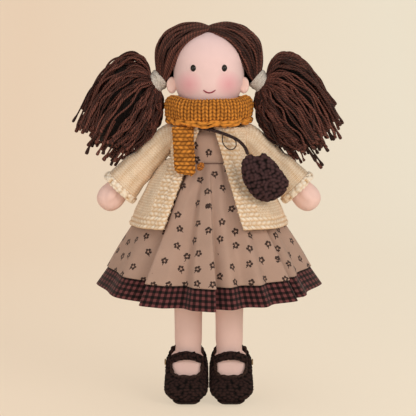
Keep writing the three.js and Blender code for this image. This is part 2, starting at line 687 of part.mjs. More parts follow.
// The purse's strap comes out from under the scarf and a thin drawstring loop hangs from it.
const strapRoute = [
  [-11.5, -28.6, 288.8], [-4, -29, 288.3], [3, -29.6, 287], [9, -29.9, 285.4], [15.4, -30.2, 283.2],
  [20.5, -30.7, 281.3], [25.3, -31.6, 279.2], [29.5, -33, 276.9], [33, -35.2, 274], [35.8, -38.2, 271],
  [37.6, -42, 268.2], [38.4, -46, 265.9], [38.9, -49.8, 264.5], [39.1, -52.6, 264],
];
const loopRoute = [
  [14.6, -33.1, 282.2], [13.9, -33.8, 279.2], [14, -34.1, 275.8], [15.4, -34.4, 272.2],
  [18.2, -34.6, 268.9], [22.2, -34.8, 267], [25.9, -35, 268.2], [28, -35.2, 271.6], [27.8, -35.2, 275.2],
  [25.4, -34.8, 278.2], [22.6, -34.2, 280.2], [20.9, -33.7, 281.4],
];
const route = (points) => new THREE.CatmullRomCurve3(points.map((point) => new THREE.Vector3(...point)));
place("purse_strap", cord(route(strapRoute), strapDiameter), darkCrochet);
place("purse_loop", cord(route(loopRoute), loopDiameter), darkCrochet);

// Leg: hip seam down to the ankle. Rows hold a height share above the floor and two radius shares.
const legShares = [
  [0.12, 0.88, 0.86], [0.27, 0.9, 0.89], [0.31, 0.92, 0.91], [0.45, 0.95, 0.95], [0.75, 1, 0.99],
  [0.88, 1.02, 0.98], [0.945, 0.98, 0.82], [0.98, 0.9, 0.45], [1, 0.78, 0.05],
];
const legSize = new THREE.Vector3(legRadius, legRadius, hipHeight);
const legAt = new THREE.Vector3(legSpread, 0, 0);
const legColumn = (grow) => tower(legShares, 0, legSize, limbSides, grow, roundPower, legAt);

// Shoe form, heel to toe: length share, half width share, top share, bottom share.
const shoeShares = [
  [0, 0.27, 0.47, 0.2], [0.05, 0.6, 0.84, 0.06], [0.16, 0.78, 1, 0], [0.42, 0.82, 1, 0],
  [0.5, 0.87, 0.86, 0], [0.58, 0.94, 0.7, 0], [0.67, 0.99, 0.58, 0], [0.77, 1, 0.51, 0],
  [0.87, 0.91, 0.44, 0.02], [0.95, 0.68, 0.35, 0.04], [1, 0.28, 0.27, 0.08],
];
const shoePower = 2.2;
const shoeRowAt = ([along, wide, top, bottom], inset) => {
  const length = shoeLength - inset * 2;
  const high = top * shoeHeight - inset;
  const low = bottom * shoeHeight + inset * (bottom > 0 ? 1 : 0);
  return {
    at: new THREE.Vector3(
      THREE.MathUtils.lerp(legSpread, shoeSpread, along), shoeHeel - inset - along * length, (high + low) / 2),
    wide: Math.max(wide * shoeHalfWidth - inset, shoeHalfWidth * 0.05),
    high: (high - low) / 2,
  };
};

function shoeForm(inset) {
  const form = skin(shoeShares.map((row) => {
    const { at, wide, high } = shoeRowAt(row, inset);
    return ring(at, X, Z, wide, high, limbSides, shoePower);
  }));
  return cut(form, halfSpace("z", soleThickness + gap, -1));
}

const foot = join(shoeForm(shoeWall + gap), legColumn(0));
place("leg_left", foot, skinCloth);
place("leg_right", mirrored(foot), skinCloth);

const strapTopZ = shoeStrapBase + shoeStrapHeight;
const vampOpening = tower([[0, 1, 1], [1, 1, 1]], shoeHeight / 3,
  new THREE.Vector3(vampHalfWidth, vampLength / 2, shoeHeight), limbSides, 0, roundPower,
  new THREE.Vector3(legSpread, -vampLength / 2 - gap, 0));

// The strap's lower edge, an arch over the instep: distance from the ankle's middle and height at each place.
const archShares = [-1, -0.75, -0.5, -0.25, 0, 0.25, 0.5, 0.75, 1];
const strapArch = (lift) => archShares.map((share) => [
  legSpread + share * shoeHalfWidth, shoeStrapBase - shoeStrapArch * share * share + lift]);
const strapBelow = strapArch(-gap);
const frontOfAnkle = curtain([...strapBelow, [shoeHalfWidth + legSpread, overrun],
  [legSpread - shoeHalfWidth, overrun]], -overrun, -seamGap);
const shoeRoom = join(shoeForm(shoeWall), legColumn(gap));
placePair("shoe", cut(shoeForm(0), shoeRoom, vampOpening, frontOfAnkle), shoeCrochet);

// Strap across the instep, with a tab down the outer side that carries its button.
const strapZone = curtain([...strapArch(0), ...strapArch(shoeStrapHeight).reverse()],
  -overrun, -seamGap - gap);
const strapBand = meet(cut(join(shoeForm(-gap * 2), legColumn(shoeStrapWall + gap)), shoeRoom), strapZone);
const tabLow = shoeStrapBase - shoeStrapHeight * 1.6;
const tabZone = block(new THREE.Vector3(shoeSpread + shoeHalfWidth / 2, -shoeStrapHeight * 2, tabLow),
  new THREE.Vector3(overrun, -shoeStrapHeight * 0.6, strapTopZ - gap));
const strapTab = meet(cut(shoeForm(-shoeStrapWall - gap), shoeForm(-gap), shoeRoom), tabZone);
placePair("shoe_strap", join(strapBand, strapTab), shoeCrochet);
const buttonAt = new THREE.Vector3(shoeSpread + shoeHalfWidth - gap, -shoeStrapHeight * 1.3,
  shoeStrapBase - shoeStrapHeight * 0.7);
const buttonSize = new THREE.Vector3(buttonRadius, buttonRadius, buttonRadius);
placePair("shoe_button", cut(ball(buttonAt, buttonSize), shoeForm(-shoeStrapWall - gap * 2)), buttonHorn);

// Sole: the shoe's outline at its foot, with a rounded lower edge.
function soleOutline(z, share) {
  const half = shoeShares.map((row) => {
    const { at, wide, high } = shoeRowAt(row, 0);
    const level = Math.min(Math.abs(soleThickness + gap - at.z) / high, 0.97);
    return [at, wide * (1 - level ** shoePower) ** (1 / shoePower) * share];
  });
  const middleY = shoeHeel - shoeLength / 2;
  const y = (at) => middleY + (at.y - middleY) * share * 0.98;
  const outer = half.map(([at, wide]) => new THREE.Vector3(at.x + wide, y(at), z));
  const inner = half.map(([at, wide]) => new THREE.Vector3(at.x - wide, y(at), z)).reverse();
  return [...outer, ...inner];
}
placePair("sole", skin([
  soleOutline(0, 0.93), soleOutline(soleThickness * 0.4, 1), soleOutline(soleThickness, 1),
]), shoeCrochet);

export default doll;
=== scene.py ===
"""A sewn rag doll with yarn pigtails, a printed dress, a hand-knitted cardigan and scarf, a
crocheted purse and strap shoes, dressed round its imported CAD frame. Classes hold sizes in
millimetres, and meshes are in metres. The doll faces -Y and its own left is at +X.
"""

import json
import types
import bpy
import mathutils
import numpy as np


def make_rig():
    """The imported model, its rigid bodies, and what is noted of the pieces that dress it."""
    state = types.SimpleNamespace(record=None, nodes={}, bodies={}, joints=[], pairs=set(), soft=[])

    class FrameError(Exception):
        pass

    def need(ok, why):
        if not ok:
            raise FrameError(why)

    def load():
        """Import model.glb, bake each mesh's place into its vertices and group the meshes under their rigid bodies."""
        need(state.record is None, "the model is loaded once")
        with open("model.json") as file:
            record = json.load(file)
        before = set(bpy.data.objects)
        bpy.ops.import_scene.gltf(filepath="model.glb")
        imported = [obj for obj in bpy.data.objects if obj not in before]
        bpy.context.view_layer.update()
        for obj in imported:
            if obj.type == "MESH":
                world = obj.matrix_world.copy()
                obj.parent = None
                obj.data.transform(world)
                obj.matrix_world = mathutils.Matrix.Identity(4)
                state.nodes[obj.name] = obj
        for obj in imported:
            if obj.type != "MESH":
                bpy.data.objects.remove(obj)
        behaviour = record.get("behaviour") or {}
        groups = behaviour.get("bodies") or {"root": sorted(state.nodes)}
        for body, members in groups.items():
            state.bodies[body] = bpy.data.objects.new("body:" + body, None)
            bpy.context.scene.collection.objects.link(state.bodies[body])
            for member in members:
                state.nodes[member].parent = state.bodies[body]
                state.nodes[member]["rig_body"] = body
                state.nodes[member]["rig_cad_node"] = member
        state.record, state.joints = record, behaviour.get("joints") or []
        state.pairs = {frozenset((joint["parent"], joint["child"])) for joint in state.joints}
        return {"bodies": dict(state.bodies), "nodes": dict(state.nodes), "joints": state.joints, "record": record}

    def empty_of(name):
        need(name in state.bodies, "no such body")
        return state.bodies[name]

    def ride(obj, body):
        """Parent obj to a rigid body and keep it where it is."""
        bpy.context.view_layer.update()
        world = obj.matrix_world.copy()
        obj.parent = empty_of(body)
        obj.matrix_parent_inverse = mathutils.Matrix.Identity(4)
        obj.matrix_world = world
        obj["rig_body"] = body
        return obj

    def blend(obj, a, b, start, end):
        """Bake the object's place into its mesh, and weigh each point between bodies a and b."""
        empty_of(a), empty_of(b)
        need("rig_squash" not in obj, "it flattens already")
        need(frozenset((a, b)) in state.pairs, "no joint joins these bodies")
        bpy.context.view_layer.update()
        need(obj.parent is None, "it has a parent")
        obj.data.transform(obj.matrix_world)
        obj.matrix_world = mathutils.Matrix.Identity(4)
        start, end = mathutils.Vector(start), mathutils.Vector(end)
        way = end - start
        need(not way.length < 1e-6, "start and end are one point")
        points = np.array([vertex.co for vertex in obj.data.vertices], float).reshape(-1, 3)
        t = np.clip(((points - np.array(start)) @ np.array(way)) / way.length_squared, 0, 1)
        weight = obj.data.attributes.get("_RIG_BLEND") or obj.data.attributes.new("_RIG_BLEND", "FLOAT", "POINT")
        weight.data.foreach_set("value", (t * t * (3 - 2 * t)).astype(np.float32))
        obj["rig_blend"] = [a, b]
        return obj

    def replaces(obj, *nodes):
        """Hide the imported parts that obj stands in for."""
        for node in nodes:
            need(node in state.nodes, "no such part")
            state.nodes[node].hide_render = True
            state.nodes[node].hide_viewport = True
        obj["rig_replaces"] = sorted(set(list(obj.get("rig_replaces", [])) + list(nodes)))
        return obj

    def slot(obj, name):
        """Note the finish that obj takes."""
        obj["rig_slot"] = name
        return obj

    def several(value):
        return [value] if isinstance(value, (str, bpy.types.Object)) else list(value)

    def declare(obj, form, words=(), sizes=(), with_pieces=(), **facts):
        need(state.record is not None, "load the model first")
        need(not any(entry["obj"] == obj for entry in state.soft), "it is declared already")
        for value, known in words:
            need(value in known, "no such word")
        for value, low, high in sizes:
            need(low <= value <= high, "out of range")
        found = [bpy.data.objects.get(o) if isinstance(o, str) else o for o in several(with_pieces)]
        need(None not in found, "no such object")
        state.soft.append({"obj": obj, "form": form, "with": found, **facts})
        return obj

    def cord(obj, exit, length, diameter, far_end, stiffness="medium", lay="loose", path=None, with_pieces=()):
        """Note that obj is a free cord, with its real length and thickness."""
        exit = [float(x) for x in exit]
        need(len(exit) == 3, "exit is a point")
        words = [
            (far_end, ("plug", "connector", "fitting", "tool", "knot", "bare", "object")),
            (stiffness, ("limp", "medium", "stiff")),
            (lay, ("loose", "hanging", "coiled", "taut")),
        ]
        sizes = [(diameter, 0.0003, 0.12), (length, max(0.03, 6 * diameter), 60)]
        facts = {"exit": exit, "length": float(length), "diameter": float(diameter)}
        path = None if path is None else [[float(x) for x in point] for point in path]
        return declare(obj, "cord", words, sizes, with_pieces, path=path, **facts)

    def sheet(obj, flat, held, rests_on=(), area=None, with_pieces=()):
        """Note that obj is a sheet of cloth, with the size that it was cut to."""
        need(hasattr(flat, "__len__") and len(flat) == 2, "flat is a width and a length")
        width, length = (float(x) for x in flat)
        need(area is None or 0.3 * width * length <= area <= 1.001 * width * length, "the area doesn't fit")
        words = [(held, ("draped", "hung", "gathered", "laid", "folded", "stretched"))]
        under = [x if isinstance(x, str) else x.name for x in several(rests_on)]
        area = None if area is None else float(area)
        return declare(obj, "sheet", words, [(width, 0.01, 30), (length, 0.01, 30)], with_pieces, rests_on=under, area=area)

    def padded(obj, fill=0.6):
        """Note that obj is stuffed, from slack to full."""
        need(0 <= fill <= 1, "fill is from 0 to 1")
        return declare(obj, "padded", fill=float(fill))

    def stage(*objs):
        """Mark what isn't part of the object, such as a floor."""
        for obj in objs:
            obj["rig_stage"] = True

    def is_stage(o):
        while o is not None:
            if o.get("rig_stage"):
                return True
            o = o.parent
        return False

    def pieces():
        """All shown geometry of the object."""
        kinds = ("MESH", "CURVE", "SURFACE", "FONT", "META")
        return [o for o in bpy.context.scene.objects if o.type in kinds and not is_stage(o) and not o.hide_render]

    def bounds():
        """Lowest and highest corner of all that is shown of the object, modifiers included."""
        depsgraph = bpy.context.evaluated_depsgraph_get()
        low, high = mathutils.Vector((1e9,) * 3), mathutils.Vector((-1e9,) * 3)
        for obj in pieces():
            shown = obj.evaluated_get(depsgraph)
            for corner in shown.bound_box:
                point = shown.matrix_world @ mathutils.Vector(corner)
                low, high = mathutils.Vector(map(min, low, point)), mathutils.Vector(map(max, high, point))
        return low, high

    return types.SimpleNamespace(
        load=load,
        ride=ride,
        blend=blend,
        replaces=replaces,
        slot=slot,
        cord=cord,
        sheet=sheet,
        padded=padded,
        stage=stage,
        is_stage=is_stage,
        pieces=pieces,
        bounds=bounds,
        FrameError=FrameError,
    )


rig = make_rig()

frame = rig.load()

import json
import logging
import math
from dataclasses import dataclass, field
from enum import Enum
from typing import Callable, ClassVar, NamedTuple, Optional, Protocol, Sequence

import bmesh
import bpy
import numpy as np
from mathutils import Euler, Vector

CAD_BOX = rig.bounds()
MM = 0.001
FULL_TURN = 2 * math.pi
SIDES = (("left", 1.0), ("right", -1.0))

# The garter border of a knitted panel: a stitch's width, the rows in it and how deep it is worked.
BORDER_STITCH, BORDER_ROWS, BORDER_DEPTH = 5.6, 3, 1.9

# Factors that scatter a stitch's number, so that no two stitches are alike.
SCATTER_COLUMN, SCATTER_ROW, SCATTER_WIDE = 12.9898, 78.233, 43758.5453

# The trunk's height, half width and half depth, and how square it is. The bodice is fitted over it.
TORSO_SIZE, TORSO_POWER = (103.4, 34.5, 23.5), 2.4

# How far the arms lean down, and the height of the shoulder's middle. The sleeves follow both.
ARM_LEAN, SHOULDER_HEIGHT = math.radians(46), 278

log = logging.getLogger("rag_doll")

Array = np.ndarray
Colour = tuple[float, float, float]
Place = Callable[[Array, Array], Array]


# -------------------------------------------------------------------------------------------------
# Numbers and tables


def tone(code: str) -> Colour:
    """The linear colour of a written screen colour.

    Args:
        code: six hexadecimal digits.

    Returns:
        Red, green and blue from 0 to 1.
    """
    parts = [int(code[i : i + 2], 16) / 255 for i in (0, 2, 4)]
    red, green, blue = [p / 12.92 if p <= 0.04045 else ((p + 0.055) / 1.055) ** 2.4 for p in parts]
    return red, green, blue


def through_rows(rows: Sequence[Sequence[float]], at: Array) -> Array:
    """Reads a table on a smooth curve through its rows.

    Args:
        rows: the first column rises, and the others are the values there.
        at: where to read, in the first column's measure.

    Returns:
        The other columns at each place, as the last axis.
    """
    table = np.array(rows, float)
    x, y = table[:, 0], table[:, 1:]
    step = np.diff(y, axis=0) / np.diff(x)[:, None]
    slope = np.vstack([step[:1], (step[:-1] + step[1:]) / 2, step[-1:]])
    slope[1:-1][step[:-1] * step[1:] <= 0] = 0
    at = np.clip(at, x[0], x[-1])
    low = np.clip(np.searchsorted(x, at, side="right") - 1, 0, len(x) - 2)
    span = (x[low + 1] - x[low])[..., None]
    t = (at[..., None] - x[low][..., None]) / span
    square, cube = t * t, t * t * t
    return (
        (2 * cube - 3 * square + 1) * y[low]
        + (cube - 2 * square + t) * span * slope[low]
        + (3 * square - 2 * cube) * y[low + 1]
        + (cube - square) * span * slope[low + 1]
    )


def along_line(points: Sequence[Sequence[float]], at: Array, closed: bool = False) -> Array:
    """Points on a smooth line through others, at shares of its length.

    Args:
        points: what the line goes through.
        at: shares from 0 to 1.
        closed: whether the line comes back to its first point.

    Returns:
        One point for each share, as the last axis.
    """
    line = np.array(points, float)
    if closed:
        line = np.vstack([line[-2:], line, line[:3]])
    chord = np.concatenate([[0.0], np.cumsum(np.linalg.norm(np.diff(line, axis=0), axis=1))])
    start, end = (chord[2], chord[-3]) if closed else (chord[0], chord[-1])
    return through_rows(np.column_stack([chord, line]), start + at * (end - start))


def bent(value: Array, power: Array) -> Array:
    """A sine or a cosine to a power, with its sign kept."""
    return np.sign(value) * np.abs(value) ** power


def hump(value: Array, middle: float, width: float) -> Array:
    """A smooth rise to 1 at a middle."""
    return np.exp(-(((value - middle) / width) ** 2))


def round_section(turn: Array, wide: Array, deep: Array, power: float) -> tuple[Array, Array]:
    """A superellipse seen from above, from its front towards the doll's left.

    Args:
        turn: share of a full turn.
        wide: half width.
        deep: half depth.
        power: 2 for an ellipse, more for fuller corners.

    Returns:
        X and Y.
    """
    s, c = np.sin(turn * FULL_TURN), np.cos(turn * FULL_TURN)
    return bent(s, 2 / power) * wide, -bent(c, 2 / power) * deep


def stack(*parts: Array) -> Array:
    """Coordinates put together as points."""
    return np.stack(np.broadcast_arrays(*parts), axis=-1)


def ease(value: Array, low: float, high: float) -> Array:
    """A smooth step from 0 at low to 1 at high."""
    t = np.clip((value - low) / (high - low), 0, 1)
    return t * t * (3 - 2 * t)


def unit(vectors: Array) -> Array:
    """Vectors made one long."""
    return vectors / np.maximum(np.linalg.norm(vectors, axis=-1, keepdims=True), 1e-9)


def crown(depth: Array) -> Array:
    """How wide a cushion-like form is at a depth from -1 to 1."""
    return (1 - np.abs(depth) ** 2.2).clip(0) ** (1 / 2.2)


# -------------------------------------------------------------------------------------------------
# Meshes


def link(name: str, data: bpy.types.ID) -> bpy.types.Object:
    """Puts an object with this data into the scene."""
    made = bpy.data.objects.new(name, data)
    bpy.context.scene.collection.objects.link(made)
    return made


def fill(mesh: bpy.types.Mesh, order: Array, points: Array,
         measures: tuple[Array, Array], name: str, values: Array) -> None:
    """Moves a grid's points and writes what its material reads.

    Args:
        mesh: the flat grid.
        order: its vertices, row by row.
        points: where they go, in millimetres.
        measures: the two measures that become its UV.
        name: the attribute's name.
        values: the attribute's value at each point.
    """
    count = len(order)
    place = np.zeros((count, 3), np.float32)
    place[order] = points.reshape(-1, 3) * MM
    mesh.vertices.foreach_set("co", place.ravel())
    chart = np.zeros((count, 2), np.float32)
    chart[order] = np.stack([m.ravel() for m in measures], axis=1)
    corners = np.zeros(len(mesh.loops), np.int32)
    mesh.loops.foreach_get("vertex_index", corners)
    mesh.uv_layers.new(name="UVMap").data.foreach_set("uv", chart[corners].ravel())
    carried = np.zeros(count, np.float32)
    carried[order] = values.ravel()
    mesh.attributes.new(name, "FLOAT", "POINT").data.foreach_set("value", carried)
    mesh.polygons.foreach_set("use_smooth", np.ones(len(mesh.polygons), bool))


def weld(mesh: bpy.types.Mesh, distance: float, closed: bool, flip: bool = False) -> None:
    """Welds seams and poles, and turns the faces outwards.

    Args:
        mesh: the moved grid.
        distance: how near points are welded, in metres.
        closed: whether its form shows which side is the outer one.
        flip: whether an open form has to be turned round.
    """
    bm = bmesh.new()
    bm.from_mesh(mesh)
    bmesh.ops.remove_doubles(bm, verts=bm.verts, dist=distance)
    if closed:
        bmesh.ops.recalc_face_normals(bm, faces=bm.faces)
    elif flip:
        bmesh.ops.reverse_faces(bm, faces=bm.faces)
    bm.to_mesh(mesh)
    bm.free()


# -------------------------------------------------------------------------------------------------
# Stitches


class Stitch(Enum):
    """The ways the doll's clothes are worked."""

    PLAIN = "plain"
    STOCKINETTE = "stockinette"
    GARTER = "garter"
    CROCHET = "crochet"

    def relief(self, across: Array, along: Array, width: float, height: float) -> Array:
        """How far the yarn stands out, from 0 in a hollow to 1 on top of a stitch.

        Args:
            across: place along a row of stitches.
            along: place along a column of stitches.
            width: one stitch's width.
            height: one stitch's height.

        Returns:
            The relief at each place.
        """
        if self is Stitch.PLAIN:
            return np.ones_like(across)
        worked = {"stockinette": self._vees, "garter": self._ridges, "crochet": self._knobs}
        return worked[self.value](across / width, along / height)

    def _ridges(self, column: Array, line: Array) -> Array:
        """Garter stitch: rows of bumps that lean to and fro."""
        row = np.floor(line)
        up = line - row
        place = column + 0.5 * (row % 2) + 0.55 * (up - 0.5) * np.cos(math.pi * row)
        ridge = 0.2 + 0.8 * np.sin(math.pi * up) ** 0.8
        bump = 0.35 + 0.65 * np.sin(math.pi * (place % 1)) ** 0.7
        return ridge * bump * self._uneven(np.floor(place), row, 0.35)

    def _knobs(self, column: Array, line: Array) -> Array:
        """Crochet: one knob in each cell, strewn about its middle."""
        nearest = np.full_like(column, 9.0)
        for i in (-1, 0, 1):
            for j in (-1, 0, 1):
                a, b = np.floor(column) + i, np.floor(line) + j
                x = a + 0.1 + 0.8 * self._uneven(a, b, 1.0)
                y = b + 0.1 + 0.8 * self._uneven(b + 7, a + 3, 1.0)
                nearest = np.minimum(nearest, (column - x) ** 2 + (line - y) ** 2)
        return np.clip(1 - nearest / 0.62, 0, 1) ** 0.7

    def _vees(self, column: Array, line: Array) -> Array:
        """Stockinette: two slanting legs to a stitch."""
        leg = np.abs(2 * (column % 1) - 1)
        slant = line - 0.6 * leg
        strand = 0.15 + 0.85 * np.sin(math.pi * (slant % 1)) ** 0.55
        vee = strand * np.sin(math.pi * ((2 * column) % 1)) ** 0.6
        return vee * self._uneven(np.floor(2 * column), np.floor(slant), 0.2)

    @staticmethod
    def _uneven(column: Array, row: Array, share: float) -> Array:
        """Makes no two stitches stand equally high.

        Args:
            column: the stitch's number across.
            row: the stitch's number along.
            share: how much they differ.

        Returns:
            A factor for each stitch.
        """
        mixed = np.sin(column * SCATTER_COLUMN + row * SCATTER_ROW) * SCATTER_WIDE
        return 1 - share * (mixed - np.floor(mixed))


@dataclass
class Panel:
    """A piece of surface that is laid out as a grid and moved into its shape.

    Attributes:
        name: the piece's name.
        place: gives the points, in millimetres, for shares across and along.
        across: faces across.
        along: faces along.
        stitch: how it is worked.
        size: one stitch's width and height.
        depth: how deep the hollows between stitches are.
        tube: whether it closes on itself across.
        ring: whether it closes on itself along.
        centred: whether its columns are counted from its middle.
        border: how far from its start along it is worked in garter stitch.
        margin: how far from its start across it is worked in garter stitch.
        wall: thickness, given inwards.
        flip: whether its outer side has to be turned round.
        chart: gives a cloth's own measures, where rows and columns don't follow the grid.
    """

    name: str
    place: Place
    across: int
    along: int
    stitch: Stitch = Stitch.PLAIN
    size: tuple[float, float] = (5.0, 4.0)
    depth: float = 0.0
    tube: bool = False
    ring: bool = False
    centred: bool = False
    border: float = 0.0
    margin: float = 0.0
    wall: float = 0.0
    flip: bool = False
    chart: Optional[Callable[[Array], tuple[Array, Array]]] = None
    points: Array = field(init=False, repr=False)
    normals: Array = field(init=False, repr=False)

    def _slope(self, points: Array, axis: int, closed: bool) -> Array:
        """The change of the points from one grid line to the next."""
        if not closed:
            return np.gradient(points, axis=axis)
        inner = np.delete(points, -1, axis=axis)
        change = (np.roll(inner, -1, axis=axis) - np.roll(inner, 1, axis=axis)) / 2
        return np.concatenate([change, np.take(change, [0], axis=axis)], axis=axis)

    def _measures(self, points: Array) -> tuple[Array, Array]:
        """The cloth's own width and length at each point."""
        if self.chart:
            return self.chart(points)
        steps = np.linalg.norm(np.diff(points, axis=1), axis=-1)
        if self.tube:
            run = np.concatenate([[0.0], np.cumsum(steps.mean(axis=0))])
            run *= max(1, round(run[-1] / self.size[0])) * self.size[0] / run[-1]
            wide = np.broadcast_to(run, points.shape[:2])
        else:
            wide = np.concatenate([np.zeros((len(points), 1)), np.cumsum(steps, axis=1)], axis=1)
            if self.centred:
                wide = wide - wide[:, [self.across // 2]]
        rises = np.linalg.norm(np.diff(points, axis=0), axis=-1).mean(axis=1)
        rise = np.concatenate([[0.0], np.cumsum(rises)])
        if self.ring:
            rise *= max(1, round(rise[-1] / self.size[1])) * self.size[1] / rise[-1]
        return wide, np.broadcast_to(rise[:, None], points.shape[:2])

    def build(self) -> bpy.types.Object:
        """Makes the piece.

        Returns:
            The piece's object, with its measures as UV and its relief as an attribute.
        """
        bm = bmesh.new()
        bmesh.ops.create_grid(bm, x_segments=self.across, y_segments=self.along, size=0.5)
        flat = np.array([v.co[:2] for v in bm.verts])
        mesh = bpy.data.meshes.new(self.name)
        bm.to_mesh(mesh)
        bm.free()
        order = np.lexsort((flat[:, 0].round(5), flat[:, 1].round(5)))
        u, v = np.meshgrid(np.linspace(0, 1, self.across + 1), np.linspace(0, 1, self.along + 1))
        points = self.place(u, v)
        ways = self._slope(points, 1, self.tube), self._slope(points, 0, self.ring)
        normals = unit(np.cross(*ways))
        if self.tube:
            outward = points - points.reshape(-1, 3).mean(axis=0)
            normals *= 1 if (outward * normals).sum() > 0 else -1
        elif self.flip:
            normals = -normals
        wide, rise = self._measures(points)
        relief = self.stitch.relief(wide, rise, *self.size)
        depth = np.full_like(relief, self.depth)
        if self.border:
            edge = Stitch.GARTER.relief(wide, rise, BORDER_STITCH, self.border / BORDER_ROWS)
            bordered = (rise < self.border) | ((wide < self.margin) & (self.margin > 0))
            relief = np.where(bordered, edge, relief)
            depth = np.where(bordered, BORDER_DEPTH, depth)
        points = points + normals * ((relief - 1) * depth)[..., None]
        self.points, self.normals = points, normals
        fill(mesh, order, points, (wide, rise), "relief", relief)
        weld(mesh, 1e-6, self.tube, self.flip)
        piece = link(self.name, mesh)
        if self.wall:
            shell = piece.modifiers.new("wall", "SOLIDIFY")
            shell.thickness = self.wall * MM
            shell.offset = -1
        return piece

    def flat(self) -> dict[str, object]:
        """The cloth let out flat: its width and length, and its area, in metres."""
        wide = np.linalg.norm(np.diff(self.points, axis=1), axis=-1).sum(axis=1)
        long = np.linalg.norm(np.diff(self.points, axis=0), axis=-1).sum(axis=0)
        rows, columns = self.points[1:] - self.points[:-1], self.points[:, 1:] - self.points[:, :-1]
        cells = np.linalg.norm(np.cross(rows[:, :-1], columns[:-1]), axis=-1).sum()
        size = (float(wide.max() * MM), float(np.percentile(long, 90) * MM))
        area = float(cells * MM * MM)
        least, most = 0.31 * size[0] * size[1], 0.99 * size[0] * size[1]
        return {"flat": size, "area": float(np.clip(area, least, most))}


@dataclass
class Strands:
    """Yarns and threads, all of one piece: each is a round tube along a line.

    Attributes:
        name: the piece's name.
        sides: faces round each yarn.
    """

    name: str
    sides: int = 6

    def build(self, paths: Array, radii: Array, tones: Optional[Array] = None) -> bpy.types.Object:
        """Makes the yarns.

        Args:
            paths: yarns, points on each and their coordinates, in millimetres.
            radii: the yarn's radius at each point.
            tones: a lightness from 0 to 1 for each yarn.

        Returns:
            The piece's object, with length and turn as UV.
        """
        count, steps = radii.shape
        bm = bmesh.new()
        bmesh.ops.create_grid(bm, x_segments=self.sides, y_segments=steps - 1, size=0.5)
        first = bm.verts[:] + bm.edges[:] + bm.faces[:]
        for k in range(1, count):
            made = bmesh.ops.duplicate(bm, geom=first)["geom"]
            verts = [g for g in made if isinstance(g, bmesh.types.BMVert)]
            bmesh.ops.translate(bm, verts=verts, vec=(0, 0, float(k)))
        flat = np.array([v.co[:] for v in bm.verts])
        mesh = bpy.data.meshes.new(self.name)
        bm.to_mesh(mesh)
        bm.free()
        order = np.lexsort((flat[:, 0].round(5), flat[:, 1].round(5), flat[:, 2].round(1)))
        points, lengths = self._tubes(paths, radii)
        shape = points.shape[:3]
        turn = np.broadcast_to(np.linspace(0, 1, self.sides + 1), shape)
        along = np.broadcast_to(lengths[..., None], shape)
        tones = np.full(count, 0.5) if tones is None else tones
        fill(mesh, order, points, (along, turn), "tone",
             np.broadcast_to(tones[:, None, None], shape))
        weld(mesh, 2e-7, True)
        return link(self.name, mesh)

    def _tubes(self, paths: Array, radii: Array) -> tuple[Array, Array]:
        """Places the tubes' points, each ring following the one before without twisting.

        Args:
            paths: the yarns' lines.
            radii: their radii, drawn in to nothing at both ends.

        Returns:
            The points, and the length run at each point of each line.
        """
        ahead = unit(np.gradient(paths, axis=1))
        helper = np.where(np.abs(ahead[:, :1, 2:]) < 0.8, [[[0.0, 0.0, 1.0]]], [[[1.0, 0.0, 0.0]]])
        side = unit(np.cross(ahead[:, 0], helper[:, 0]))
        sides = [side]
        for k in range(1, paths.shape[1]):
            side = side - (side * ahead[:, k]).sum(axis=1, keepdims=True) * ahead[:, k]
            side = unit(side)
            sides.append(side)
        across = np.stack(sides, axis=1)
        up = np.cross(ahead, across)
        turn = np.linspace(0, FULL_TURN, self.sides + 1)
        turn[-1] = 0
        shut = radii.copy()
        shut[:, 0] = shut[:, -1] = 0
        offset = np.cos(turn)[:, None] * across[:, :, None] + np.sin(turn)[:, None] * up[:, :, None]
        points = paths[:, :, None] + offset * shut[:, :, None, None]
        steps = np.linalg.norm(np.diff(paths, axis=1), axis=-1)
        lengths = np.concatenate([np.zeros((len(paths), 1)), np.cumsum(steps, axis=1)], axis=1)
        return points, lengths


# -------------------------------------------------------------------------------------------------
# Materials


def worked(operation: str, swapped: bool = False) -> Callable[..., "Wire"]:
    """A way to work on a wire.

    Args:
        operation: what the Math node does.
        swapped: whether the wire comes last.

    Returns:
        A method that makes the node of the wire and the other values.
    """

    def method(self: "Wire", *others: object) -> "Wire":
        values = (*others, self) if swapped else (self, *others)
        return self.shader.node("ShaderNodeMath", {"operation": operation}, values)

    return method


class Wire:
    """A socket of a material, with arithmetic on it.

    `share` is what a number has over a whole one, `size` a number without its sign and `most` the
    larger of two. Angles are in radians, and a comparison gives 1 where it holds.
    """

    def __init__(self, shader: "Shader", socket: bpy.types.NodeSocket) -> None:
        """Keeps the socket and the material it is in."""
        self.shader = shader
        self.socket = socket

    __add__ = __radd__ = worked("ADD")
    __sub__, __rsub__ = worked("SUBTRACT"), worked("SUBTRACT", swapped=True)
    __mul__, __truediv__, __pow__ = worked("MULTIPLY"), worked("DIVIDE"), worked("POWER")
    __lt__, __gt__, most = worked("LESS_THAN"), worked("GREATER_THAN"), worked("MAXIMUM")
    sine, cosine, root = worked("SINE"), worked("COSINE"), worked("SQRT")
    share, size = worked("FRACT"), worked("ABSOLUTE")

    def held(self) -> "Wire":
        """This kept from 0 to 1."""
        return self.shader.node("ShaderNodeClamp", {}, {"Value": self, "Min": 0.0, "Max": 1.0})


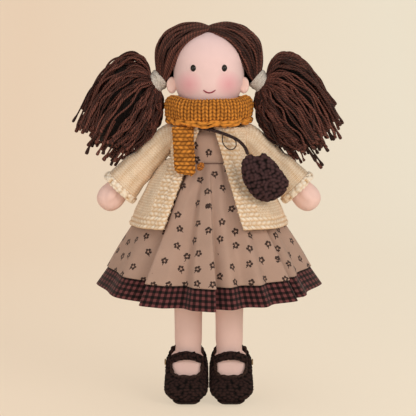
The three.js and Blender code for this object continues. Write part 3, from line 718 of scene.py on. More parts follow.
class Shader:
    """One material and the nodes that it is made of."""

    def __init__(self, name: str) -> None:
        """Starts a material with one cloth-like surface.

        Args:
            name: the material's name.
        """
        self.material = bpy.data.materials.new(name)
        self.material.use_nodes = True
        self.tree = self.material.node_tree
        self.surface = self.tree.nodes["Principled BSDF"]

    def node(self, kind: str, settings: dict, values: object = (), output: object = 0) -> Wire:
        """Adds a node.

        Args:
            kind: the node's type.
            settings: its own settings, set first.
            values: what its sockets hold or are linked to, in order or by name or number.
            output: which of its outputs is meant.

        Returns:
            That output.
        """
        made = self.tree.nodes.new(kind)
        for key, value in settings.items():
            setattr(made, key, value)
        pairs = values.items() if isinstance(values, dict) else enumerate(values)
        for key, value in pairs:
            self._put(made.inputs[key], value)
        return Wire(self, made.outputs[output])

    def _put(self, socket: bpy.types.NodeSocket, value: object) -> None:
        """Links or sets a socket. A string is a written colour."""
        if isinstance(value, Wire):
            self.tree.links.new(value.socket, socket)
        elif isinstance(value, str):
            socket.default_value = (*tone(value), 1)
        else:
            socket.default_value = value

    def finish(self, **values: object) -> bpy.types.Material:
        """Gives the surface its values.

        Args:
            values: what the surface's sockets hold, with _ for a blank in a socket's name.

        Returns:
            The material.
        """
        for key, value in values.items():
            self._put(self.surface.inputs[key.replace("_", " ")], value)
        return self.material

    def parts(self, vector: Wire) -> tuple[Wire, ...]:
        """A vector's three numbers."""
        node = self.node("ShaderNodeSeparateXYZ", {}, (vector,)).socket.node
        return tuple(Wire(self, output) for output in node.outputs)

    def object_place(self) -> tuple[Wire, Wire, Wire, Wire]:
        """The point on the object, as a vector and as three numbers, in millimetres."""
        found = self.node("ShaderNodeTexCoord", {}, (), "Object")
        scaled = self.node("ShaderNodeVectorMath", {"operation": "SCALE"},
                           {0: found, "Scale": 1 / MM})
        return (scaled, *self.parts(scaled))

    def cloth_place(self) -> tuple[Wire, Wire, Wire]:
        """The point on the cloth, as a vector and as its two measures."""
        found = self.node("ShaderNodeUVMap", {"uv_map": "UVMap"})
        return (found, *self.parts(found)[:2])

    def attribute(self, name: str, output: object = "Fac") -> Wire:
        """A number that the mesh carries."""
        return self.node("ShaderNodeAttribute", {"attribute_name": name}, (), output)

    def noise(self, vector: Wire, scale: float, detail: float = 2.0,
              distortion: float = 0.0) -> Wire:
        """Soft noise from 0 to 1 on a vector."""
        values = {"Vector": vector, "Scale": scale, "Detail": detail, "Distortion": distortion}
        return self.node("ShaderNodeTexNoise", {}, values, "Fac")

    def blend(self, factor: object, low: object, high: object) -> Wire:
        """A colour between two."""
        return self.node("ShaderNodeMix", {"data_type": "RGBA"}, {0: factor, 6: low, 7: high}, 2)

    def times(self, colour: object, factor: Wire) -> Wire:
        """A colour made darker or lighter."""
        grey = self.node("ShaderNodeCombineColor", {}, (factor, factor, factor))
        settings = {"data_type": "RGBA", "blend_type": "MULTIPLY"}
        return self.node("ShaderNodeMix", settings, {0: 1.0, 6: colour, 7: grey}, 2)

    def bump(self, height: Wire, distance: float, strength: float = 1.0) -> Wire:
        """A surface that rises with a height, by a distance in millimetres."""
        values = {"Height": height, "Distance": distance * MM, "Strength": strength}
        return self.node("ShaderNodeBump", {}, values)


@dataclass(frozen=True)
class CottonFinish:
    """Plain woven cotton, with cheeks rubbed with rouge where it is a face.

    Attributes:
        name: the material's name.
        colour: the cloth's colour.
        rouge: the cheeks' colour, or none.
        cheek: how far a cheek's middle lies from the face's middle, its height and its size.
    """

    name: str
    colour: str
    rouge: Optional[str] = None
    cheek: tuple[float, float, float] = (20.5, 334.0, 14.5)

    def build(self) -> bpy.types.Material:
        """Makes the material."""
        s = Shader(self.name)
        spot, x, y, z = s.object_place()
        patch = s.noise(spot, 0.06)
        colour = s.times(self.colour, 0.94 + patch * 0.12)
        if self.rouge:
            middle, height, size = self.cheek
            across = x.size() - middle
            up = z - height
            away = (across * across + up * up).root() / size
            mask = (1 - away).held() * (y < 0.0)
            colour = s.blend((mask ** 0.8) * 0.62, colour, self.rouge)
        threads = ((x + y) * 7.5).sine() * (z * 7.5).sine()
        slub = s.noise(spot, 1.4, 3.0)
        height = threads * 0.35 + slub
        return s.finish(Base_Color=colour, Roughness=0.82, Sheen_Weight=0.15, Sheen_Roughness=0.5,
                        Specular_IOR_Level=0.25, Normal=s.bump(height, 0.12, 0.55))


@dataclass(frozen=True)
class YarnFinish:
    """Plied yarn, with painted shade in the grooves between its plies.

    Attributes:
        name: the material's name.
        dark: the darkest strands.
        light: the lightest strands.
        pitch: length of one twist.
        plies: strands that it is twisted from.
        bloom: how much its loose fibres catch the light.
    """

    name: str
    dark: str
    light: str
    pitch: float = 3.4
    plies: int = 2
    bloom: float = 0.04

    def build(self) -> bpy.types.Material:
        """Makes the material."""
        s = Shader(self.name)
        spot, length, turn = s.cloth_place()
        twist = ((length * (FULL_TURN / self.pitch)) + turn * (FULL_TURN * self.plies)).sine()
        ply = twist * 0.5 + 0.5
        fibre = s.noise(spot, 2.6, 4.0, 0.6)
        base = s.blend(s.attribute("tone"), self.dark, self.light)
        # Painted shade: the colour darkens in the grooves between the plies; the fibre noise varies the yarn's tone.
        colour = s.times(base, (0.35 + ply * 0.7) * (0.6 + fibre * 0.75))
        height = ply + fibre * 0.5
        return s.finish(Base_Color=colour, Roughness=0.68, Sheen_Weight=self.bloom,
                        Sheen_Roughness=0.4, Specular_IOR_Level=0.3,
                        Normal=s.bump(height, 0.5, 0.7))


@dataclass(frozen=True)
class KnitFinish:
    """Worked yarn: shade is painted into the stitches' hollows, and their tops show the yarn's plies.

    Attributes:
        name: the material's name.
        light: the colour on top of a stitch.
        dark: the painted shade in a hollow.
        ply: width of one ply.
        fuzz: strength of the fibres' relief.
        bloom: how much its loose fibres catch the light.
        steep: how soon the painted shade darkens the colour below a stitch's top.
    """

    name: str
    light: str
    dark: str
    ply: float = 1.3
    fuzz: float = 0.6
    bloom: float = 0.2
    steep: float = 1.1

    def build(self) -> bpy.types.Material:
        """Makes the material."""
        s = Shader(self.name)
        spot, wide, rise = s.cloth_place()
        relief = s.attribute("relief")
        fibre = s.noise(spot, 1.5, 4.0, 0.8)
        patch = s.noise(spot, 0.09)
        plies = ((wide * 0.8 + rise) * (FULL_TURN / self.ply)).sine() * 0.5 + 0.5
        # Painted shade: the colour runs from the light yarn on a stitch's top to the dark shade in its hollows.
        depth = (relief * 1.15 - 0.1).held() ** self.steep
        colour = s.blend(depth, self.dark, self.light)
        # The plies add a little painted shade in their grooves; patch and fibre vary the yarn's tone.
        colour = s.times(colour,
                         (0.86 + patch * 0.28) * (0.84 + fibre * 0.32) * (0.92 + plies * 0.1))
        height = fibre * 0.8 + plies * 0.4
        return s.finish(Base_Color=colour, Roughness=0.88, Sheen_Weight=self.bloom,
                        Sheen_Roughness=0.45, Specular_IOR_Level=0.2,
                        Normal=s.bump(height, 0.35, self.fuzz))


@dataclass(frozen=True)
class PrintFinish:
    """Printed dress cotton: small dark flowers, each a ring of petals with a stalk.

    Attributes:
        name: the material's name.
        ground: the cloth between the flowers.
        ink: the flowers.
        heart: the flowers' middles.
        petals: how many petals a flower has.
        ring: how far their middles lie from the flower's.
        reach: how far a flower reaches over the cloth.
    """

    name: str
    ground: str
    ink: str
    heart: str
    petals: int = 5
    ring: float = 2.3
    reach: float = 6.2

    def build(self) -> bpy.types.Material:
        """Makes the material."""
        s = Shader(self.name)
        spot, wide, rise = s.cloth_place()
        du, dv, far = s.parts(s.attribute("motif", "Vector"))
        near = far < self.reach
        reach = (du * du + dv * dv).root()
        angle = s.node("ShaderNodeMath", {"operation": "ARCTAN2"}, (dv, du))
        wobble = s.noise(spot, 0.75) - 0.5
        petal = ((angle * (self.petals / FULL_TURN)).share() - 0.5) * (FULL_TURN / self.petals)
        ring = self.ring
        gap = (reach * reach + ring * ring - reach * petal.cosine() * (2 * ring)).most(0.0).root()
        blot = (gap + wobble * 2.4) < 1.42
        across = (du + 0.5) * 1.9
        down = (dv + 4.3) * 0.7
        leaf = ((across * across + down * down).root() + wobble * 0.4) < 0.85
        ink = (blot.most(leaf)) * near
        dot = ((reach + wobble * 0.3) < 0.7) * near
        threads = (wide * 11.0).sine() * (rise * 11.0).sine()
        slub = s.noise(spot, 0.8, 4.0)
        patch = s.noise(spot, 0.05)
        colour = s.blend(ink * 0.92, self.ground, self.ink)
        colour = s.blend(dot * 0.7, colour, self.heart)
        colour = s.times(colour, (0.9 + patch * 0.2) * (0.93 + slub * 0.12))
        height = threads * 0.4 + slub
        return s.finish(Base_Color=colour, Roughness=0.9, Sheen_Weight=0.15, Sheen_Roughness=0.5,
                        Specular_IOR_Level=0.2, Normal=s.bump(height, 0.16, 0.5))


@dataclass(frozen=True)
class GinghamFinish:
    """Woven checks: bands of two colours each way, with the half tone where they cross.

    Attributes:
        name: the material's name.
        light: where two light bands cross.
        dark: where two dark bands cross.
        repeat: one light and one dark band together.
    """

    name: str
    light: str
    dark: str
    repeat: float = 6.0

    def build(self) -> bpy.types.Material:
        """Makes the material."""
        s = Shader(self.name)
        spot, wide, rise = s.cloth_place()
        up_band = (wide / self.repeat).share() < 0.5
        side_band = (rise / self.repeat).share() < 0.5
        colour = s.blend(((up_band + side_band) * 0.5) ** 2.2, self.dark, self.light)
        twill = ((wide + rise) * 9.0).sine() * 0.5 + 0.5
        patch = s.noise(spot, 0.07)
        slub = s.noise(spot, 0.9, 3.0)
        colour = s.times(colour, (0.85 + twill * 0.2) * (0.85 + patch * 0.3))
        height = twill * 0.6 + slub
        return s.finish(Base_Color=colour, Roughness=0.9, Sheen_Weight=0.12, Sheen_Roughness=0.5,
                        Specular_IOR_Level=0.2, Normal=s.bump(height, 0.18, 0.5))


@dataclass(frozen=True)
class LinenFinish:
    """Open, flecked linen tape.

    Attributes:
        name: the material's name.
        light: the threads.
        dark: the holes and flecks.
    """

    name: str
    light: str
    dark: str

    def build(self) -> bpy.types.Material:
        """Makes the material."""
        s = Shader(self.name)
        spot, wide, rise = s.cloth_place()
        holes = ((wide * 3.4).sine() * (rise * 3.4).sine()) > 0.52
        fleck = s.noise(spot, 1.1, 3.0) > 0.6
        mask = (holes * 0.75).most(fleck * 0.55)
        threads = (wide * 8.0).sine() * 0.5 + (rise * 8.0).sine() * 0.5
        colour = s.blend(mask, self.light, self.dark)
        colour = s.times(colour, 0.92 + s.noise(spot, 0.3) * 0.16)
        height = threads * 0.5 - holes * 0.8
        return s.finish(Base_Color=colour, Roughness=0.9, Specular_IOR_Level=0.2,
                        Normal=s.bump(height, 0.35, 0.7))


@dataclass(frozen=True)
class BeadFinish:
    """A polished black bead.

    Attributes:
        name: the material's name.
        colour: the bead's colour.
    """

    name: str
    colour: str

    def build(self) -> bpy.types.Material:
        """Makes the material."""
        s = Shader(self.name)
        smear = s.noise(s.object_place()[0], 0.8, 2.0)
        return s.finish(Base_Color=s.times(self.colour, 0.8 + smear * 0.4),
                        Roughness=0.1 + smear * 0.06, Coat_Weight=0.25, Coat_Roughness=0.05,
                        Specular_IOR_Level=0.25, IOR=1.5)


@dataclass(frozen=True)
class ButtonFinish:
    """Turned light wood.

    Attributes:
        name: the material's name.
        light: the wood between its rings.
        dark: the rings.
    """

    name: str
    light: str
    dark: str

    def build(self) -> bpy.types.Material:
        """Makes the material."""
        s = Shader(self.name)
        spot, _, _, z = s.object_place()
        rings = ((z + s.noise(spot, 0.5) * 3.0) * 4.0).sine() * 0.5 + 0.5
        return s.finish(Base_Color=s.blend(rings * 0.5, self.light, self.dark), Roughness=0.45,
                        Normal=s.bump(rings, 0.05, 0.4))


class Finish(NamedTuple):
    """A material and the record's material slot that it shows."""

    material: bpy.types.Material
    slot: str


class Look(Protocol):
    """What builds a material."""

    def build(self) -> bpy.types.Material:
        """Makes the material."""


def made(slot: str, look: Look) -> Finish:
    """Makes a finish: a look's material, for a slot of the record."""
    return Finish(look.build(), slot)


class Finishes:
    """Every finish of the doll, made once."""

    def __init__(self) -> None:
        """Makes the finishes."""
        self.face = made("skin_cloth", CottonFinish("face_cotton", "f0cfcb", "e48d9a"))
        self.skin = made("skin_cloth", CottonFinish("skin_cotton", "f4cfc3"))
        self.hair = made("hair_yarn", YarnFinish("hair_wool", "2a100b", "7d493c", bloom=0.0))
        # Painted shade: near-black yarn for the layer under the hair yarns and for the pigtails' cores.
        self.yarn_shade = made("hair_yarn", YarnFinish("hair_ground", "140705", "220e0a", bloom=0.0))
        # Painted shade: each knitted or crocheted finish's second colour is the shade in its stitches' hollows.
        self.cream = made("cream_knit", KnitFinish("cream_wool", "fff0da", "d6ab7a", 1.6))
        self.mustard = made("mustard_knit",
                            KnitFinish("mustard_wool", "ee9a3c", "3f1702", 1.5, 0.8, 0.05))
        self.curl = made("mustard_knit", YarnFinish("mustard_yarn", "a85f18", "e08c34"))
        self.print = made("print_cloth", PrintFinish("flower_print", "b69684", "21100e", "b98f78"))
        self.piping = made("print_cloth", CottonFinish("waist_piping", "7a5d50"))
        self.gingham = made("check_cloth", GinghamFinish("rose_gingham", "74403f", "080202"))
        self.lining = made("lining_cloth", CottonFinish("ecru_lining", "e3d3bb"))
        self.purse = made("dark_crochet",
                          KnitFinish("purse_crochet", "4a3233", "080303", 1.4, 0.9, 0.0, 1.9))
        self.cordage = made("dark_crochet",
                            YarnFinish("purse_cord", "2b1b1b", "4c3636", 4.2, bloom=0.0))
        self.shoe = made("shoe_crochet",
                         KnitFinish("shoe_crochet", "33201d", "040101", 1.4, 0.9, 0.0, 2.6))
        self.welt = made("shoe_crochet",
                         YarnFinish("shoe_edge_yarn", "1c0d0b", "43291f", bloom=0.0))
        self.linen = made("tie_linen", LinenFinish("tie_linen", "ded4c7", "5c4a40"))
        self.mouth = made("mouth_thread", YarnFinish("smile_thread", "b0404f", "c95f70", 1.4))
        self.bead = made("bead_gloss", BeadFinish("eye_bead", "030202"))
        self.button = made("button_horn", ButtonFinish("button_wood", "9c7e58", "664a2c"))
        self.thread = Finish(self.cordage.material, "shoe_crochet")


@dataclass
class Dresser:
    """Hands a finished piece to the frame."""

    finishes: Finishes

    def wear(self, piece: bpy.types.Object, finish: Finish, body: str,
             stands_for: Sequence[str] = ()) -> bpy.types.Object:
        """Gives a piece its finish and its body.

        Args:
            piece: the piece.
            finish: its material and slot.
            body: the body it moves with, or nothing for a piece that is blended over two.
            stands_for: the CAD nodes that it replaces.

        Returns:
            The piece.
        """
        piece.data.materials.clear()
        piece.data.materials.append(finish.material)
        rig.slot(piece, finish.slot)
        if stands_for:
            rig.replaces(piece, *stands_for)
        if body:
            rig.ride(piece, body)
        log.info("%s: %d faces on %s", piece.name, len(piece.data.polygons), body or "two bodies")
        return piece


# -------------------------------------------------------------------------------------------------
# Camera, lamps and floor


def aim(way: Vector) -> Euler:
    """The turn of a camera or a lamp that looks along a way."""
    return way.to_track_quat("-Z", "Y").to_euler()


@dataclass
class Studio:
    """The pale seamless sweep, the soft lamps and the camera.

    Attributes:
        target: what the camera and the lamps look at, in metres.
        elevation: how far the camera looks down, in degrees.
        distance: from the target to the camera, in metres.
        lens: the camera's focal length.
        key: the strength of the lamp at the doll's left.
        key_at: where it stands, in metres.
        fill: the strength of the lamp at its right.
        fill_at: where that one stands.
        world: the strength of the room's own light.
        spread: half the width over which the paper turns from warm to pale towards the key lamp's side, in
            millimetres; the change is painted light.
        glow: the share of the paper's own light in what the camera sees of it; that light is painted paler towards the
            key lamp's side too.
    """

    target: tuple[float, float, float] = (0.0, 0.0, 0.204)
    elevation: float = 5.0
    distance: float = 1.35
    lens: float = 110.6
    key: float = 11.4
    key_at: tuple[float, float, float] = (1.1, -1.35, 0.85)
    fill: float = 11.0
    fill_at: tuple[float, float, float] = (-0.8, -1.7, 0.16)
    world: float = 0.5
    spread: float = 520.0
    glow: float = 0.6

    def build(self) -> None:
        """Makes the whole studio."""
        self._camera()
        self._sweep()
        self._lamp("key_lamp", self.key_at, 0.9, self.key, (1.0, 0.97, 0.93))
        self._lamp("fill_lamp", self.fill_at, 1.2, self.fill, (1.0, 0.99, 0.98))
        self._world()
        bpy.context.scene.view_settings.view_transform = "Standard"

    def _camera(self) -> None:
        """The photograph's view."""
        camera = link("camera", bpy.data.cameras.new("camera"))
        tilt = math.radians(self.elevation)
        back = Vector((0, -math.cos(tilt), math.sin(tilt)))
        camera.location = Vector(self.target) + back * self.distance
        camera.rotation_euler = aim(-back)
        camera.data.lens = self.lens
        camera.data.sensor_width = 36.0
        camera.data.shift_x = -0.0019
        camera.data.clip_end = 20.0
        camera.data.dof.use_dof = False
        bpy.context.scene.camera = camera

    def _sweep(self) -> None:
        """The floor that curves up into a backdrop."""
        rows = [(0, -3.0, 0.0), (0.35, 0.9, 0.0), (0.5, 1.9, 0.12), (0.62, 2.5, 0.75),
                (1, 2.7, 4.0)]

        def place(u: Array, v: Array) -> Array:
            found = through_rows(rows, v)
            return stack((u - 0.5) * 8 / MM, found[..., 0] / MM, found[..., 1] / MM)

        floor = Panel("paper_sweep", place, 4, 60).build()
        s = Shader("backdrop_paper")
        spot, x, _, _ = s.object_place()
        grain = s.noise(spot, 0.4, 3.0)
        # Painted light: the paper is paler towards +X, the key lamp's side, and warmer towards -X.
        side = (x / self.spread * 0.5 + 0.5).held()
        colour = s.blend(side, "fbe4c8", "fff1dd")
        s.finish(Base_Color=s.times(colour, 0.99 + grain * 0.02), Roughness=0.95,
                 Specular_IOR_Level=0.05)
        seen = s.node("ShaderNodeLightPath", {}, (), "Is Camera Ray")
        for kind in ("Is Glossy Ray", "Is Transmission Ray"):
            seen = seen.most(s.node("ShaderNodeLightPath", {}, (), kind))
        # The paper's own light for the camera is painted paler towards the key lamp's side in the same way.
        glow = s.node("ShaderNodeEmission", {}, {"Color": s.blend(side, "fce1c5", "fff5de")})
        paper = Wire(s, s.surface.outputs[0])
        mixed = s.node("ShaderNodeMixShader", {}, (seen * self.glow, paper, glow))
        s.tree.links.new(mixed.socket, s.tree.nodes["Material Output"].inputs[0])
        floor.data.materials.append(s.material)
        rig.stage(floor)

    def _lamp(self, name: str, at: Sequence[float], size: float, power: float,
              colour: Colour) -> None:
        """A square soft lamp that looks at the doll."""
        lamp = bpy.data.lights.new(name, "AREA")
        lamp.size = size
        lamp.energy = power
        lamp.color = colour
        holder = link(name, lamp)
        holder.location = at
        holder.rotation_euler = aim(Vector(self.target) - Vector(at))

    def _world(self) -> None:
        """The room's own light."""
        world = bpy.data.worlds.new("room")
        bpy.context.scene.world = world
        world.use_nodes = True
        tree = world.node_tree
        ground = tree.nodes["Background"]
        ground.inputs[0].default_value = (*tone("fffefc"), 1)
        ground.inputs[1].default_value = self.world
        paper = tree.nodes.new("ShaderNodeBackground")
        paper.inputs[0].default_value = (*tone("ebd7bd"), 1)
        path = tree.nodes.new("ShaderNodeLightPath")
        seen = path.outputs["Is Camera Ray"]
        for kind in ("Is Glossy Ray", "Is Transmission Ray"):
            either = tree.nodes.new("ShaderNodeMath")
            either.operation = "MAXIMUM"
            tree.links.new(seen, either.inputs[0])
            tree.links.new(path.outputs[kind], either.inputs[1])
            seen = either.outputs[0]
        mixed = tree.nodes.new("ShaderNodeMixShader")
        for socket, given in zip(mixed.inputs, (seen, ground.outputs[0], paper.outputs[0])):
            tree.links.new(given, socket)
        tree.links.new(mixed.outputs[0], tree.nodes["World Output"].inputs[0])


# -------------------------------------------------------------------------------------------------
# The doll


@dataclass
class Purse(Dresser):
    """A drawn crochet pouch on a twisted cord, with a thin drawstring loop."""

    def build(self) -> None:
        """Makes the cords and the pouch."""
        strap = [
            (-11.5, -28.6, 288.8), (-4, -29, 288.3), (3, -29.6, 287), (9, -29.9, 285.4),
            (15.4, -30.2, 283.2), (20.5, -30.7, 281.3), (25.3, -31.6, 279.2), (29.5, -33, 276.9),
            (33, -35.2, 274), (35.8, -38.2, 271), (37.6, -42, 268.2), (38.4, -46, 265.9),
            (38.9, -49.8, 264.5), (39.1, -52.6, 264),
        ]
        loop = [
            (14.6, -33.1, 282.2), (13.9, -33.8, 279.2), (14, -34.1, 275.8), (15.4, -34.4, 272.2),
            (18.2, -34.6, 268.9), (22.2, -34.8, 267), (25.9, -35, 268.2), (28, -35.2, 271.6),
            (27.8, -35.2, 275.2), (25.4, -34.8, 278.2), (22.6, -34.2, 280.2), (20.9, -33.7, 281.4),
        ]
        self._cord("purse_cord", "purse_strap", strap, 3.4)
        self._cord("purse_drawstring", "purse_loop", loop, 1.2)
        self._pouch()

    def _cord(self, name: str, node: str, route: Sequence[tuple[float, float, float]],
              diameter: float) -> None:
        """One cord along its route.

        Args:
            name: the piece's name.
            node: the CAD node that it stands for.
            route: the points it goes through.
            diameter: its thickness.
        """
        path = along_line(route, np.linspace(0, 1, 60))
        piece = Strands(name, 10).build(path[None], np.full((1, len(path)), diameter / 2))
        self.wear(piece, self.finishes.cordage, "purse", [node])
        length = float(np.linalg.norm(np.diff(path, axis=0), axis=1).sum()) * MM
        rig.cord(piece, exit=tuple(path[0] * MM), length=length, diameter=diameter * MM,
                far_end="object", stiffness="limp", lay="hanging",
                path=[tuple(p * MM) for p in path])

    def _pouch(self) -> None:
        """The pouch, rounded from its drawn top to its full bottom."""
        outline = [
            (-0.75, 0.9), (-0.58, 0.945), (-0.415, 0.86), (-0.1, 1), (0.21, 0.825), (0.62, 0.375),
            (0.915, -0.03), (1, -0.19), (0.875, -0.56), (0.62, -0.8), (0.12, -1), (-0.29, -0.93),
            (-0.665, -0.6), (-0.915, -0.15), (-1, 0.295), (-1, 0.62), (-0.915, 0.785),
        ]
        grooves = [(-0.6, 0.09, 0.22), (-0.28, 0.09, 0.24), (0.06, 0.09, 0.2), (0.42, 0.1, 0.14)]

        def place(u: Array, v: Array) -> Array:
            edge = along_line(outline, u, True)
            deep = np.sin((v - 0.5) * math.pi)
            size = crown(deep)
            across = edge[..., 0] * size + 0.16 * edge[..., 1] * size
            full = np.ones_like(across)
            for at, wide, drawn in grooves:
                full = full - drawn * hump(across, at, wide)
            return stack(57 + edge[..., 0] * size * 24.4, -54.5 + deep * 10.5 * full,
                         239.9 + edge[..., 1] * size * 25)

        def chart(points: Array) -> tuple[Array, Array]:
            x, z = points[..., 0], points[..., 2]
            lean = math.radians(-14)
            return x * math.cos(lean) - z * math.sin(lean), x * math.sin(lean) + z * math.cos(lean)

        pouch = Panel("purse_pouch", place, 150, 70, Stitch.CROCHET, (3.9, 3.2), 1.5, tube=True,
                      chart=chart)
        piece = self.wear(pouch.build(), self.finishes.purse, "purse", ["purse_body"])
        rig.padded(piece, fill=0.5)


@dataclass
class Head(Dresser):
    """The stuffed head with its face, ears, hair, ties and pigtails.

    Attributes:
        rows: half width and half depth at shares of the height.
        base: the chin's height.
        height: from the chin to the crown.
        wide: half width.
        deep: half depth.
    """

    rows: tuple = (
        (0, 0, 0), (0, 0.35, 0.37), (0.045, 0.54, 0.55), (0.11, 0.715, 0.715), (0.21, 0.85, 0.85),
        (0.33, 0.955, 0.945), (0.48, 1, 0.985), (0.63, 1, 1), (0.77, 0.93, 0.94), (0.88, 0.76, 0.8),
        (0.95, 0.52, 0.56), (0.985, 0.26, 0.3), (1, 0, 0),
    )
    base: float = 304.3
    height: float = 85.0
    wide: float = 37.0
    deep: float = 35.0

    def face_at(self, x: Array, z: Array) -> Array:
        """The face's depth at places across and up."""
        table = [r for r in self.rows if r[0] > 0][:-1]
        found = through_rows(table, (z - self.base) / self.height)
        share = np.clip(np.abs(x) / (found[..., 0] * self.wide), 0, 0.995)
        return -found[..., 1] * self.deep * (1 - share ** 2.1) ** (1 / 2.1)

    def build(self) -> None:
        """Makes the head and all that is on it."""
        self._skull()
        for side, sign in SIDES:
            self._eye(side, sign)
            self._ear(side, sign)
            Hair(self.finishes, self, side, sign).build()
        self._smile()

    def _skull(self) -> None:
        """The stuffed head."""

        def place(u: Array, v: Array) -> Array:
            row = along_line(np.array(self.rows) * [self.height, self.wide, self.deep], v)
            x, y = round_section(u, row[..., 1], row[..., 2], 2.1)
            return stack(x, y, self.base + row[..., 0])

        piece = Panel("head_cloth", place, 96, 90, tube=True).build()
        self.wear(piece, self.finishes.face, "head", ["head"])
        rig.padded(piece, fill=0.95)

    def _eye(self, side: str, sign: float) -> None:
        """One glossy bead."""
        apart, z = 15.6, self.base + 46
        y = float(self.face_at(np.array(apart), np.array(z))) + 0.8

        def place(u: Array, v: Array) -> Array:
            turn, rise = u * FULL_TURN, (v - 0.5) * math.pi
            flat = np.cos(rise)
            return stack(sign * apart + 3.15 * flat * np.sin(turn), y - 2.6 * flat * np.cos(turn),
                         z + 3.7 * np.sin(rise))

        piece = Panel("bead_eye_" + side, place, 36, 24, tube=True).build()
        self.wear(piece, self.finishes.bead, "head", ["eye_" + side])

    def _ear(self, side: str, sign: float) -> None:
        """One stuffed ear with a soft hollow."""

        def place(u: Array, v: Array) -> Array:
            turn, rise = u * FULL_TURN, (v - 0.5) * math.pi
            flat = np.cos(rise)
            front = np.clip(np.cos(turn), 0, 1) ** 2
            hollow = 1 - 0.5 * front * hump(rise, 0, 0.6)
            x = 37.6 - sign + 5.5 * flat * np.sin(turn * sign)
            y = -5.2 - 3.6 * flat * np.cos(turn) * hollow
            return stack(sign * x, y, 333.1 + 8.6 * np.sin(rise))

        piece = Panel("ear_cloth_" + side, place, 40, 28, tube=True).build()
        self.wear(piece, self.finishes.skin, "head", ["ear_" + side])

    def _smile(self) -> None:
        """The stitched mouth."""
        x = np.linspace(-5.9, 7.1, 40)
        z = self.base + 20.8 + 3 * ((x - 0.6) / 6.3) ** 2
        path = stack(x, self.face_at(x, z) - 0.35, z)
        radii = 0.72 * (1 - np.abs(np.linspace(-1, 1, 40)) ** 6 * 0.5)
        piece = Strands("smile_thread", 8).build(path[None], radii[None])
        self.wear(piece, self.finishes.mouth, "head", ["mouth_stitch"])


